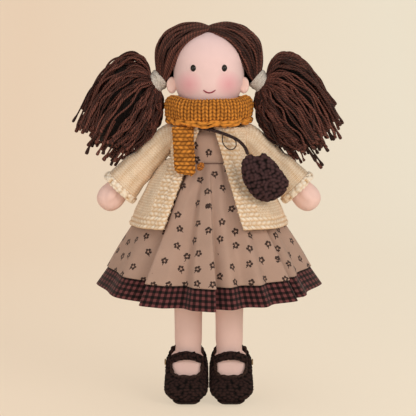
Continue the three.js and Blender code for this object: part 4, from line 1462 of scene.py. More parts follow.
@dataclass
class Hair(Dresser):
    """One side's hair: yarns from the parting into the tie, and the pigtail that hangs from it.

    Attributes:
        head: the head that it lies on.
        side: left or right.
        sign: 1 for the left and -1 for the right.
        centre: the middle of the lobe that it lies over.
        lobe: the lobe's half sizes.
        tie: the tie's middle.
        slope: how far the bunch leans down where it is tied.
        yarns: yarns over the lobe.
        tail_yarns: yarns in the pigtail.
    """

    head: Head
    side: str
    sign: float
    centre: tuple[float, float, float] = (18.0, 4.0, 362.0)
    lobe: tuple[float, float, float] = (39.0, 44.0, 38.0)
    tie: tuple[float, float, float] = (54.5, 4.0, 337.0)
    slope: float = math.radians(38)
    yarns: int = 92
    tail_yarns: int = 240

    def build(self) -> None:
        """Makes the painted-shade layer under the yarns, the yarns, the tie and the pigtail."""
        self._ground()
        self._yarns()
        self._tie()
        self._pigtail()

    def _axes(self) -> tuple[Array, Array]:
        """The way that the bunch runs through its tie, and the way square to it."""
        along = np.array([math.cos(self.slope), 0, -math.sin(self.slope)])
        up = np.array([math.sin(self.slope), 0, math.cos(self.slope)])
        return along, up

    def _over_lobe(self, back: Array, down: Array) -> Array:
        """The way of a yarn over the lobe.

        Args:
            back: where it starts on the parting, from 0 at the forehead to 1 at the nape.
            down: share of its way from the parting to the tie.

        Returns:
            Its points, for the doll's left.
        """
        phi = math.radians(50) + back * math.radians(192)
        start = stack(np.full_like(phi, -0.452), -0.89 * np.cos(phi), 0.89 * np.sin(phi))
        pole = unit(np.array([0.936, 0.0, -0.658]))
        angle = np.arccos(np.clip((start * pole).sum(axis=-1), -1, 1))[..., None]
        t = (down * 0.97)[..., None]
        swung = (np.sin((1 - t) * angle) * start + np.sin(t * angle) * pole) / np.sin(angle)
        over = np.array(self.centre) + swung * (np.array(self.lobe) - [0, 1.7, 1.7])
        line = [(0.2, 389.5), (6, 386.5), (15.5, 382), (24.5, 375), (31, 366), (34.4, 356),
                (36, 346), (42, 340)]
        edge = along_line(line, down)
        x, z = edge[..., 0], edge[..., 1]
        hug = stack(x + np.minimum(down, 0) * 40, self.head.face_at(x, z) - 1.6, z)
        near = (np.clip(1 - back / 0.2, 0, 1) ** 1.6)[..., None]
        over = over * (1 - near) + hug * near
        turn = math.radians(-35) + back * math.radians(250)
        along, up = self._axes()
        mouth = np.array(self.tie) - along * 4.5
        spun = np.sin(turn)[..., None] * up + np.cos(turn)[..., None] * np.array([0, -1, 0])
        rim = mouth + 8.2 * spun
        pull = ease(down, 0.62, 1.0)[..., None]
        return over * (1 - pull) + rim * pull

    def _mirror(self, points: Array) -> Array:
        """The points on this side of the doll."""
        return points * np.array([self.sign, 1, 1])

    def _ground(self) -> None:
        """Painted shade: a near-black layer under the yarns, standing in for the shade between them."""

        def place(u: Array, v: Array) -> Array:
            over = self._over_lobe(u, v)
            inward = unit(np.array(self.centre) - over)
            return self._mirror(over + inward * 1.9)

        ground = Panel("hair_ground_" + self.side, place, 60, 30, wall=1.2, flip=self.sign > 0)
        self.wear(ground.build(), self.finishes.yarn_shade, "head")

    def _yarns(self) -> None:
        """The yarns that show."""
        rng = np.random.default_rng(7 if self.sign > 0 else 8)
        back = (np.arange(self.yarns) + 0.5) / self.yarns + rng.normal(0, 0.004, self.yarns)
        back = np.clip(back, 0, 1)
        down = np.linspace(-0.045, 1, 36)
        grid_back, grid_down = np.meshgrid(back, down, indexing="ij")
        sway = rng.normal(0, 0.006, (self.yarns, 1)) * np.sin(grid_down * math.pi)
        wave = 0.004 * np.sin(grid_down * 17 + rng.uniform(0, 6, (self.yarns, 1)))
        path = self._over_lobe(np.clip(grid_back + sway + wave, 0, 1), grid_down)
        ripple = 0.35 * np.sin(grid_down * 31 + rng.uniform(0, 6, (self.yarns, 1)))
        lift = (rng.uniform(-1.3, 0.5, (self.yarns, 1)) + ripple) * np.sin(grid_down * math.pi)
        path = path + unit(path - np.array(self.centre)) * lift[..., None]
        thick = rng.uniform(0.95, 1.4, (self.yarns, 1)) * (1 - 0.25 * ease(grid_down, 0.7, 1))
        tones = rng.uniform(0, 1, self.yarns)
        piece = Strands("hair_yarns_" + self.side, 7).build(self._mirror(path), thick, tones)
        self.wear(piece, self.finishes.hair, "head", ["hair_" + self.side])

    def _tie(self) -> None:
        """The linen wound round the bunch."""
        along, up = self._axes()
        rows = [
            (-7.4, 6.5), (-7.0, 10.4), (-3.6, 11.2), (0, 10.7), (3.6, 11.4), (6.8, 11.6),
            (7.3, 7.5),
        ]

        def place(u: Array, v: Array) -> Array:
            row = along_line(rows, v)
            ridge = 0.28 * np.sin(v * 26 + u * FULL_TURN)
            turn = u * FULL_TURN
            radius = (row[..., 1] + ridge)[..., None]
            spun = np.cos(turn)[..., None] * up + np.sin(turn)[..., None] * np.array([0, 1.0, 0])
            return self._mirror(np.array(self.tie) + row[..., :1] * along + spun * radius)

        piece = Panel("linen_tie_" + self.side, place, 72, 30, size=(1.8, 1.8), tube=True,
                      wall=1.2).build()
        self.wear(piece, self.finishes.linen, "head", ["hair_tie_" + self.side])

    def _pigtail(self) -> None:
        """The loose yarns, each on its own curve from the tie to a thick tip."""
        rng = np.random.default_rng(21 if self.sign > 0 else 22)
        count, steps = self.tail_yarns, 44
        knob = np.array([0.95, 1.0, 1.35, 1.65, 1.8, 1.75, 1.4, 1.0])
        spin = rng.uniform(0, FULL_TURN, count)
        out = np.where(rng.uniform(0, 1, count) < 0.62, 1.0, np.sqrt(rng.uniform(0, 1, count)))
        fan = 0.5 + 0.5 * out * np.cos(spin)
        depth = out * np.sin(spin)
        table = [
            (0, 46, 322, 47, 293, 66, 273), (0.2, 55, 320, 59, 285, 84, 258),
            (0.4, 62, 324, 75, 294, 103, 251), (0.55, 67, 336, 89, 311, 120, 256),
            (0.7, 68, 351, 104, 331, 132, 273), (0.85, 66, 365, 112, 354, 139, 288),
            (1, 64, 384, 108, 371, 127, 311),
        ]
        guide = through_rows(table, fan)
        along, up = self._axes()
        mouth = np.array(self.tie) + along * 4.0
        off = 7.5 * np.minimum(out, rng.uniform(0.6, 1, count))
        root = mouth + (off * np.cos(spin))[:, None] * up
        root = root + (off * np.sin(spin))[:, None] * np.array([0, 1.0, 0])
        tip = guide[:, 4:] + rng.normal(0, 1.6, (count, 2))
        reach = np.where(rng.uniform(0, 1, count) < 0.12, 0.13, 0.05)
        hub, middle = [78, 322], [96, 311]
        tip = tip + (tip - hub) * rng.uniform(-0.2, reach)[:, None]
        tip = middle + (tip - middle) * (1 - 0.3 * np.abs(depth) ** 2.5)[:, None]
        t = (1 - np.linspace(1, 0, steps) ** 1.6)[None, :, None]
        first = guide[:, :2] + rng.normal(0, 1.2, (count, 2))
        second = guide[:, 2:4] + rng.normal(0, 1.6, (count, 2))
        plan = (1 - t) ** 3 * root[:, None, [0, 2]] + 3 * t * (1 - t) ** 2 * first[:, None]
        plan = plan + 3 * t * t * (1 - t) * second[:, None] + t ** 3 * tip[:, None]
        far = 4 + depth * 27
        y = root[:, 1:2] + (far[:, None] - root[:, 1:2]) * np.sin(t[..., 0] * math.pi * 0.5) ** 0.55
        path = np.stack([plan[..., 0], y, plan[..., 1]], axis=-1)
        phase = rng.uniform(0, 6, (count, 1, 3))
        beat = rng.uniform(13, 25, (count, 1, 1))
        wave = rng.uniform(0.5, 2.0, (count, 1, 1)) * np.sin(t * beat + phase)
        path = path + wave * ease(t, 0, 0.3)
        radii = rng.uniform(0.85, 1.15, (count, 1)) * np.ones((1, steps))
        radii[:, -len(knob):] *= knob
        tones = rng.uniform(0, 1, count)
        piece = Strands("pigtail_yarns_" + self.side, 7).build(self._mirror(path), radii, tones)
        body = "pigtail_" + self.side
        self.wear(piece, self.finishes.hair, body, ["pigtail_" + self.side])
        # A near-black core of painted shade fills the bunch.
        self._heart(body)

    def _heart(self, body: str) -> None:
        """Painted shade: a near-black core in the middle of the pigtail, which shows between its yarns as the bunch's
        shade.
        """
        outline = [
            (62, 340), (64, 350), (75, 359), (90, 359), (101, 351), (111, 336), (119, 316),
            (126, 292), (121, 276), (110, 265), (98, 261), (86, 266), (76, 276), (67, 290),
            (61, 305), (58, 320), (58, 330),
        ]
        middle = (90, 308)

        def place(u: Array, v: Array) -> Array:
            edge = along_line(outline, u, True)
            deep = np.sin((v - 0.5) * math.pi)
            near = crown(deep) * 0.9
            x = middle[0] + (edge[..., 0] - middle[0]) * near
            z = middle[1] + (edge[..., 1] - middle[1]) * near
            return self._mirror(stack(x, 4 + deep * 18.5, z))

        core = Panel("pigtail_heart_" + self.side, place, 48, 24, tube=True).build()
        self.wear(core, self.finishes.yarn_shade, body)


@dataclass
class Body(Dresser):
    """The stuffed torso, arms and legs."""

    def build(self) -> None:
        """Makes the torso and the limbs."""
        self._torso()
        for side, sign in SIDES:
            self._arm(side, sign)
            self._leg(side, sign)

    def _torso(self) -> None:
        """The trunk with its neck, inside the clothes."""
        rows = [
            (0, 0, 0), (0, 0.75, 0.05), (0.05, 0.87, 0.55), (0.13, 0.96, 0.86), (0.25, 0.97, 1),
            (0.505, 0.8, 0.83), (0.62, 0.86, 0.83), (0.71, 0.94, 0.81), (0.775, 0.94, 0.74),
            (0.815, 0.92, 0.6), (0.84, 0.8, 0.52), (0.885, 0.42, 0.57), (0.995, 0.385, 0.565),
            (1, 0.36, 0.53), (1, 0, 0),
        ]

        def place(u: Array, v: Array) -> Array:
            row = along_line(np.array(rows) * TORSO_SIZE, v)
            x, y = round_section(u, row[..., 1], row[..., 2], TORSO_POWER)
            return stack(np.clip(x, -33, 33), y, 200.6 + row[..., 0])

        piece = Panel("torso_cloth", place, 56, 60, tube=True).build()
        self.wear(piece, self.finishes.skin, "torso", ["torso"])
        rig.padded(piece, fill=0.9)

    def _arm(self, side: str, sign: float) -> None:
        """One arm with its mitten hand and thumb."""
        rows = [
            (0, 0, 0), (0.002, 0.7, 0.7), (0.044, 0.72, 0.72), (0.09, 0.74, 0.74),
            (0.135, 0.75, 0.75), (0.3, 0.78, 0.78), (0.6, 0.84, 0.84), (0.72, 0.85, 0.8),
            (0.79, 0.94, 0.82), (0.86, 1, 0.84), (0.93, 0.88, 0.76), (0.97, 0.66, 0.56),
            (0.99, 0.38, 0.32), (1, 0, 0),
        ]
        straight, bend = 4.7, 12.0

        def place(u: Array, v: Array) -> Array:
            row = along_line(np.array(rows) * [111, 14.3, 14.3], v)
            run = row[..., 0]
            turned = np.clip((run - straight) / bend, 0, ARM_LEAN)
            beyond = np.maximum(0, run - straight - bend * ARM_LEAN)
            x = 33.3 + np.minimum(run, straight) + bend * np.sin(turned) + np.cos(turned) * beyond
            z = SHOULDER_HEIGHT - bend + bend * np.cos(turned) - np.sin(turned) * beyond
            across, up = np.sin(u * FULL_TURN) * row[..., 2], np.cos(u * FULL_TURN) * row[..., 1]
            return stack(sign * (x + np.sin(turned) * up), across, z + np.cos(turned) * up)

        piece = Panel("arm_cloth_" + side, place, 48, 90, tube=True).build()
        self._thumb(piece, sign)
        self.wear(piece, self.finishes.skin, "arm_" + side, ["arm_" + side])
        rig.padded(piece, fill=0.9)

    def _thumb(self, piece: bpy.types.Object, sign: float) -> None:
        """Adds the thumb to a hand and skins both as one.

        Args:
            piece: the arm.
            sign: which side it is on.
        """
        bm = bmesh.new()
        bm.from_mesh(piece.data)
        made = bmesh.ops.create_uvsphere(bm, u_segments=20, v_segments=14, radius=1 * MM)
        lean = math.radians(38) * sign
        for vert in made["verts"]:
            x, z = vert.co.x * 5.6, vert.co.z * 9.6
            vert.co = Vector((x * math.cos(lean) - z * math.sin(lean), vert.co.y * 4.0,
                              x * math.sin(lean) + z * math.cos(lean)))
        bmesh.ops.translate(bm, verts=made["verts"],
                            vec=(sign * 101.5 * MM, -10.0 * MM, 218.5 * MM))
        bm.to_mesh(piece.data)
        bm.free()
        skin = piece.modifiers.new("one_skin", "REMESH")
        skin.mode = "VOXEL"
        skin.voxel_size = 1.1 * MM
        skin.use_smooth_shade = True
        relax = piece.modifiers.new("relax", "SMOOTH")
        relax.iterations = 5

    def _leg(self, side: str, sign: float) -> None:
        """One leg down to its ankle, and the foot inside the shoe."""
        rows = [
            (0, 0, 0), (0.004, 0.8, 0.8), (0.1, 0.9, 0.88), (0.17, 0.885, 0.87),
            (0.185, 0.865, 0.85), (0.2, 0.9, 0.89), (0.31, 0.93, 0.92), (0.45, 0.96, 0.96),
            (0.75, 1, 0.99), (0.88, 1.02, 0.98), (0.945, 0.98, 0.82), (0.98, 0.9, 0.45),
            (1, 0.78, 0.05), (1, 0, 0),
        ]

        def place(u: Array, v: Array) -> Array:
            row = along_line(np.array(rows) * [176, 15.6, 15.6], v)
            x, y = round_section(u, row[..., 1], row[..., 2], 2.0)
            return stack(sign * 21.8 + x, y, 24 + row[..., 0])

        piece = Panel("leg_cloth_" + side, place, 48, 110, tube=True).build()
        self.wear(piece, self.finishes.skin, "leg_" + side, ["leg_" + side])
        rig.padded(piece, fill=0.9)
        foot = Panel("foot_cloth_" + side, Shoe.form(sign, 3.6), 40, 60, tube=True).build()
        self.wear(foot, self.finishes.skin, "leg_" + side)


@dataclass
class Shoe(Dresser):
    """One crocheted shoe with its sole, ankle strap and button.

    Attributes:
        side: left or right.
        sign: 1 for the left and -1 for the right.
        LENGTH: from heel to toe.
        HEEL: how far behind the ankle the heel lies.
        HEEL_OUT: how far the heel's middle lies from the doll's.
        TOE_TURN: how much farther out the toe's middle lies.
        OPENING: the middle of the foot's opening, across and along.
        OPENING_SIZE: its half width and half length.
        OPENING_POWER: how square it is.
        YARN: one knob's width and height.
    """

    side: str
    sign: float
    LENGTH: ClassVar[float] = 61.0
    HEEL: ClassVar[float] = 20.0
    HEEL_OUT: ClassVar[float] = 22.7
    TOE_TURN: ClassVar[float] = 1.2
    OPENING: ClassVar[tuple[float, float]] = (23.2, -11.5)
    OPENING_SIZE: ClassVar[tuple[float, float]] = (16.7, 18.2)
    OPENING_POWER: ClassVar[float] = 2.6
    YARN: ClassVar[tuple[float, float]] = (3.3, 3.2)

    @staticmethod
    def rows() -> Array:
        """Length, half width, top, bottom and squareness from heel to toe."""
        return np.array([
            (0, 0.02, 0.4, 0.22, 2.4), (0.015, 0.42, 0.7, 0.12, 2.4), (0.05, 0.66, 0.86, 0.04, 2.6),
            (0.16, 0.84, 0.93, 0, 3.0), (0.3, 0.93, 0.93, 0, 3.4), (0.42, 0.97, 0.92, 0, 3.6),
            (0.5, 0.98, 0.84, 0, 3.4), (0.58, 0.99, 0.72, 0, 3.0), (0.67, 1, 0.6, 0, 2.6),
            (0.77, 1, 0.52, 0, 2.3), (0.86, 0.93, 0.46, 0.015, 2.2), (0.93, 0.76, 0.39, 0.04, 2.2),
            (0.975, 0.5, 0.32, 0.08, 2.2), (1, 0.02, 0.2, 0.15, 2.2),
        ]) * [Shoe.LENGTH, 23.5, 62, 62, 1]

    @staticmethod
    def top(x: Array, y: Array) -> Array:
        """The height of the upper's surface at places across and along."""
        run = Shoe.HEEL - y
        row = through_rows(Shoe.rows(), run)
        across = x - Shoe.HEEL_OUT - Shoe.TOE_TURN * run / Shoe.LENGTH
        inside = np.clip(np.abs(across) / row[..., 0], 0, 0.98)
        middle, half = (row[..., 1] + row[..., 2]) / 2, (row[..., 1] - row[..., 2]) / 2
        return middle + half * (1 - inside ** row[..., 3]) ** (1 / row[..., 3])

    @staticmethod
    def form(sign: float, inset: float) -> Place:
        """The shoe's surface, drawn in by an amount.

        Args:
            sign: which foot it is for.
            inset: how far it is drawn in.

        Returns:
            What places a panel's points.
        """

        def place(u: Array, v: Array) -> Array:
            row = along_line(Shoe.rows(), v)
            high, low = row[..., 2] - inset, row[..., 3] + inset * 0.3
            x = Shoe.HEEL_OUT + Shoe.TOE_TURN * row[..., 0] / Shoe.LENGTH
            s, c = np.sin(u * FULL_TURN), np.cos(u * FULL_TURN)
            wide = np.maximum(row[..., 1] - inset, 0.4)
            square = np.where(c < 0, row[..., 4], 1.7)
            side = bent(s, 2 / square) * wide
            up = bent(c, 2 / square) * np.maximum(high - low, 0.4) / 2
            z = np.maximum((high + low) / 2 - up, 4.4 + inset)
            run = inset + row[..., 0] * (Shoe.LENGTH - 2 * inset) / Shoe.LENGTH
            return stack(sign * (x + side), Shoe.HEEL - run, z)

        return place

    @property
    def body(self) -> str:
        """The body that it moves with."""
        return "leg_" + self.side

    def build(self) -> None:
        """Makes the shoe's pieces."""
        self._upper()
        self._edge()
        self._strap()
        self._sole()
        self._button()

    def _in_opening(self, points: Array) -> Array:
        """Whether points lie over the foot's opening."""
        x, y, z = (points / MM).T
        across, along = np.abs(x) - self.OPENING[0], y - self.OPENING[1]
        wide, long = self.OPENING_SIZE
        power = self.OPENING_POWER
        vamp = np.abs(across / wide) ** power + np.abs(along / long) ** power < 1
        ankle = ((np.abs(x) - 22.6) / 16.4) ** 2 + (y / 15.6) ** 2 < 1
        front = (y < -1) & (z > self.arch(across) + 3.5)
        return ((vamp | ankle) & (z > 22)) | front

    @staticmethod
    def arch(across: Array) -> Array:
        """The height of the band's lower edge over the instep."""
        return 45.9 - 10.4 * (across / 22.4) ** 2

    @staticmethod
    def chart(points: Array) -> tuple[Array, Array]:
        """The crochet's own measures: rows lie round the shoe and climb it."""
        x, y, z = points[..., 0], points[..., 1], points[..., 2]
        return 22 * np.arctan2(np.abs(x) - 23.3, -10 - y), z + 0.5 * y

    def _upper(self) -> None:
        """The crocheted upper, open over the instep and the ankle."""
        place = Shoe.form(self.sign, 0)
        piece = Panel("shoe_upper_" + self.side, place, 170, 120, Stitch.CROCHET, self.YARN, 1.9,
                      tube=True, wall=2.6, chart=self.chart).build()
        bm = bmesh.new()
        bm.from_mesh(piece.data)
        middles = np.array([f.calc_center_median()[:] for f in bm.faces])
        over = self._in_opening(middles)
        bmesh.ops.delete(bm, geom=[f for f, gone in zip(bm.faces, over) if gone], context="FACES")
        bm.to_mesh(piece.data)
        bm.free()
        self.wear(piece, self.finishes.shoe, self.body, ["shoe_" + self.side])

    def _edge(self) -> None:
        """The crocheted edge round the opening."""
        steps = 90
        turn = np.linspace(0, FULL_TURN, steps)
        sine, cosine = np.sin(turn), np.cos(turn)
        (middle, front), (wide, long) = self.OPENING, self.OPENING_SIZE
        power = 2 / self.OPENING_POWER
        x = middle + wide * bent(sine, power)
        y = front + np.where(cosine < 0, long, 27.1) * bent(cosine, power)
        z = np.minimum(self.top(x, y) - 0.8, np.where(y > -1, 57.0, self.arch(x - middle) + 1))
        path = stack(self.sign * x, y, z)
        beads = 1.7 + 0.45 * np.sin(np.linspace(0, 26 * FULL_TURN, steps) / 2)
        piece = Strands("shoe_edge_" + self.side, 9).build(path[None], beads[None], np.array([0.6]))
        self.wear(piece, self.finishes.welt, self.body)

    def _strap(self) -> None:
        """The band over the instep and its tab down the outer side."""

        def place(u: Array, v: Array) -> Array:
            turn = (u - 0.5) * math.radians(196)
            swell = 1.3 * np.sin(v * math.pi) + 0.4 * np.sin(u * 60)
            across = (21.0 + swell) * np.sin(turn)
            y = -3 - (17.6 + swell) * np.cos(turn)
            return stack(self.sign * 23.5 + across, y, self.arch(across) - 0.6 + v * 9.6)

        band = Panel("shoe_band_" + self.side, place, 90, 18, Stitch.CROCHET, self.YARN, 1.6,
                     wall=2.4).build()
        self.wear(band, self.finishes.shoe, self.body, ["shoe_strap_" + self.side])

        def flap(u: Array, v: Array) -> Array:
            narrow = 1 - 0.55 * ease(v, 0.75, 1.0)
            y = -9.5 + (u - 0.5) * 10.5 * narrow
            bulge = 1.1 * np.sin(u * math.pi)
            return stack(self.sign * (43.3 + bulge + 2.2 * v ** 2), y, 46.5 - 12 * v)

        tab = Panel("shoe_tab_" + self.side, flap, 20, 34, Stitch.CROCHET, (3.6, 3.6), 0.8,
                    wall=2.2, flip=self.sign > 0).build()
        self.wear(tab, self.finishes.shoe, self.body)

    def _sole(self) -> None:
        """The worked sole that the doll stands on."""
        half = self.LENGTH / 2
        rim = [
            (0, 0), (0.5, 0), (0.7, 0.5), (0.82, 1.6), (0.94, 3.2), (1.02, 4.7), (0.95, 5.3),
            (0, 5.3),
        ]

        def place(u: Array, v: Array) -> Array:
            turn = u * FULL_TURN
            run = half - 30.0 * np.cos(turn)
            row = through_rows(Shoe.rows(), run)
            inside = np.clip(1 - 8.6 / np.maximum(row[..., 1] - row[..., 2], 9), 0, 1)
            wide = row[..., 0] * (1 - inside ** 1.7) ** (1 / 1.7)
            ring = along_line(rim, v)
            x = 23.3 + np.sign(np.sin(turn)) * wide * ring[..., 0]
            y = self.HEEL - half - (run - half) * ring[..., 0]
            return stack(self.sign * x, y, ring[..., 1])

        piece = Panel("shoe_sole_" + self.side, place, 90, 40, Stitch.CROCHET, (4.0, 3.2), 0.3,
                      tube=True).build()
        self.wear(piece, self.finishes.shoe, self.body, ["sole_" + self.side])

    def _button(self) -> None:
        """The turned button and the thread that sews it on."""
        rim = [(0, 0), (3.1, 0), (3.2, 0.9), (2.9, 1.5), (2.2, 1.2), (0, 1.1)]

        def place(u: Array, v: Array) -> Array:
            row = along_line(rim, v)
            turn = u * FULL_TURN
            x = self.sign * (45.4 + row[..., 1])
            return stack(x, -9.7 + row[..., 0] * np.sin(turn), 41.2 + row[..., 0] * np.cos(turn))

        piece = Panel("button_" + self.side, place, 36, 24, tube=True).build()
        self.wear(piece, self.finishes.button, self.body, ["shoe_button_" + self.side])
        bow = [(46.0, -10.8), (46.6, -10.3), (46.7, -9.7), (46.6, -9.1), (46.0, -8.6)]
        thread = np.array([[(self.sign * x, y, 41.2) for x, y in bow]])
        sewn = Strands("button_thread_" + self.side, 8).build(thread, np.full((1, len(bow)), 0.35))
        self.wear(sewn, self.finishes.thread, self.body)


@dataclass
class Dress(Dresser):
    """The printed dress and the petticoat with its gingham frill.

    Attributes:
        bell: half width, half depth and fold depth at shares of the skirt's length.
        length: the skirt's, from the waist to its hem.
        wide: half width at the hem.
        deep: half depth at the hem.
        folds: ridges and valleys: turn in degrees, height and lean in degrees.
        ridge: how far a ridge stands out at the hem.
        drawn: how far a valley is drawn in there.
        valley: the deep valley in front: turn, width in degrees and depth.
        dip: how much lower the front and the back hang than the sides.
        waist: the height of the waist.
    """

    bell: tuple = (
        (0, 0.297, 0.265, 0.06), (0.07, 0.356, 0.331, 0.1), (0.19, 0.468, 0.448, 0.18),
        (0.3, 0.561, 0.541, 0.27), (0.44, 0.659, 0.645, 0.37), (0.57, 0.741, 0.733, 0.48),
        (0.79, 0.883, 0.878, 0.73), (1, 1, 1, 1),
    )
    length: float = 110.0
    wide: float = 102.5
    deep: float = 86.0
    folds: tuple = (
        (-182, 0.95, 0), (-170, 0.15, 0), (-156, 1.0, 0), (-146, 0.1, 0), (-132, 1.05, 0),
        (-121, 0.1, 0), (-93, 1.1, 0), (-70, 0.5, 0), (-57, 0.8, 0), (-37, -0.15, 0.5),
        (-31.5, 1.25, -4.0), (-24, 0.9, -1), (-15, -0.05, 0), (-8, 0.85, 0.5), (0.5, 1.35, 3.2),
        (4, 0, -0.5), (12, 0.7, 0), (20, 0, 0), (29, 1.0, 0), (36, 0.45, 0), (45, 1.25, 3.2),
        (49, 0.1, -0.5), (58, 0.8, 0), (68, 0.3, 0), (91, 1.15, 1), (99, 0.2, 0), (112, 1.0, 0),
        (122, 0.1, 0), (134, 1.0, 0), (145, 0.15, 0), (158, 1.0, 0), (169, 0.1, 0), (178, 0.95, 0),
    )
    ridge: float = 10.4
    drawn: float = 6.4
    valley: tuple[float, float, float] = (-15.0, 6.0, 4.4)
    dip: float = 11.0
    waist: float = 252.5

    def _fold(self, angle: Array, drop: Array) -> tuple[Array, Array]:
        """How far a point stands out on a fold, and how far it leans over sideways.

        Args:
            angle: turn from the front, in radians.
            drop: distance below the waist.

        Returns:
            The fold, from 0 in a valley to about 1 on a ridge, and its lean in radians.
        """
        turn = (np.degrees(angle) + 182) % 360 - 182
        marks = np.array(self.folds)
        k = np.clip(np.searchsorted(marks[:, 0], turn, side="right"), 1, len(marks) - 1)
        share = (turn - marks[k - 1, 0]) / (marks[k, 0] - marks[k - 1, 0])
        share = (share * share * (3 - 2 * share))[..., None]
        found = marks[k - 1, 1:] * (1 - share) + marks[k, 1:] * share
        low = ease(drop, 0, 36)
        gathers = 0.5 * np.cos(np.radians(turn * 22)) * (1 - ease(drop, 6, 42))
        return found[..., 0] * low + 0.6 * (1 - low) + gathers, np.radians(found[..., 1])

    def hanging(self, turn: Array, drop: Array, extra: Array, ease_in: object,
                folded: object) -> Array:
        """A point of a hanging layer.

        Args:
            turn: share of a full turn, from the back over its right side to the front.
            drop: distance below the waist.
            extra: how far it stands out beyond the bell.
            ease_in: how far it lies inside.
            folded: share of the folds' depth.

        Returns:
            The points.
        """
        angle = (turn - 0.5) * FULL_TURN
        row = through_rows(self.bell, np.minimum(drop / self.length, 1))
        fold, lean = self._fold(angle, drop)
        amount = row[..., 2] + 0.14 * ease(drop, 0, 20)
        middle, width, depth = self.valley
        deep = depth * hump(np.degrees(angle), middle, width) * ease(drop, 0, 12)
        deep = deep * (1 - 0.75 * drop / self.length)
        swell = amount * (self.ridge * fold * folded - self.drawn) - deep * folded + extra - ease_in
        angle = angle + lean * folded * row[..., 2] * (1 - 0.02 * ease_in)
        x = (row[..., 0] * self.wide + swell) * np.sin(angle)
        y = -(row[..., 1] * self.deep + swell) * np.cos(angle)
        dip = self.dip * (drop / self.length) * np.abs(np.cos(angle)) ** 1.4
        return stack(x, y, self.waist - drop - dip)

    def build(self) -> None:
        """Makes the layers from the inside out."""
        self._underskirt()
        self._frill()
        self._skirt()
        self._bodice()

    def _layer(self, name: str, top: float, bottom: float, ease_in: tuple[float, float],
               flare: float, folded: tuple[float, float], size: tuple[int, int],
               wall: float) -> Panel:
        """One hanging layer's panel.

        Args:
            name: the piece's name.
            top: its upper edge's drop.
            bottom: its lower edge's drop.
            ease_in: how far it lies inside the skirt, above and below.
            flare: how far its lower edge stands out.
            folded: share of the folds' depth, above and below.
            size: faces across and along.
            wall: thickness.

        Returns:
            The panel, not yet built.
        """

        def place(u: Array, v: Array) -> Array:
            down = 1 - v
            drop = top + down * (bottom - top)
            low = ease(drop, 55, 98)
            inside = ease_in[0] + (ease_in[1] - ease_in[0]) * low
            deep = folded[0] + (folded[1] - folded[0]) * low
            return self.hanging(u, drop, down * flare, inside, deep)

        return Panel(name, place, *size, tube=True, wall=wall, size=(6.0, 6.0))

    def _underskirt(self) -> None:
        """The hidden plain petticoat."""
        layer = self._layer("petticoat_cloth", 8, 102, (5.0, 8.8), 0, (0.7, 0.8), (300, 40), 0.9)
        piece = self.wear(layer.build(), self.finishes.lining, "torso", ["underskirt"])
        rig.sheet(piece, held="gathered", rests_on=["torso_cloth"], **layer.flat())

    def _frill(self) -> None:
        """The gingham frill below the hem."""
        layer = self._layer("gingham_frill_cloth", 100.5, 128.8, (8.6, 8.6), 20.0, (1, 1),
                            (460, 30), 0.8)
        piece = self.wear(layer.build(), self.finishes.gingham, "torso", ["gingham_frill"])
        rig.sheet(piece, held="gathered", rests_on=["petticoat_cloth"], **layer.flat())

    def _skirt(self) -> None:
        """The printed skirt."""
        layer = self._layer("skirt_cloth", 0.3, 110, (0, 0), 0, (1, 1), (460, 80), 0.8)
        piece = layer.build()
        Flowers(5).print_on(piece, layer)
        self.wear(piece, self.finishes.print, "torso", ["skirt"])
        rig.sheet(piece, held="gathered", rests_on=["petticoat_cloth"], **layer.flat())

        def seam(u: Array, v: Array) -> Array:
            ring = self.hanging(u, np.full_like(u, 0.4), np.full_like(u, 0.2), 0, 1)
            out = unit(ring * np.array([1, 1, 0]))
            turn = (v * FULL_TURN)[..., None]
            return ring + 0.55 * (np.cos(turn) * out + np.sin(turn) * np.array([0, 0, 1.0]))

        piping = Panel("waist_piping", seam, 120, 8, tube=True, ring=True).build()
        self.wear(piping, self.finishes.piping, "torso")

    def _bodice(self) -> None:
        """The fitted top."""
        rows = [
            (0.505, 0.8, 0.83), (0.62, 0.86, 0.83), (0.71, 0.98, 0.81), (0.775, 1, 0.74),
            (0.815, 0.97, 0.62), (0.86, 0.72, 0.54),
        ]
        loose = 2.1

        def place(u: Array, v: Array) -> Array:
            row = through_rows(rows, 0.505 + v * 0.355)
            _, wide, deep = TORSO_SIZE
            wide, deep = row[..., 0] * wide + loose, row[..., 1] * deep + loose
            x, y = round_section(u, wide, deep, TORSO_POWER)
            crease = 0.35 * np.sin(x * 0.55 + 1) * (1 - v)
            return stack(np.clip(x, -32.6, 32.6), y + np.sign(y) * crease, 252.6 + v * 36.8)

        panel = Panel("bodice_cloth", place, 160, 40, tube=True, wall=0.8, size=(6.35, 6.35))
        piece = panel.build()
        Flowers(9).print_on(piece, panel)
        self.wear(piece, self.finishes.print, "torso", ["bodice"])
        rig.sheet(piece, held="stretched", rests_on=["torso_cloth"], **panel.flat())


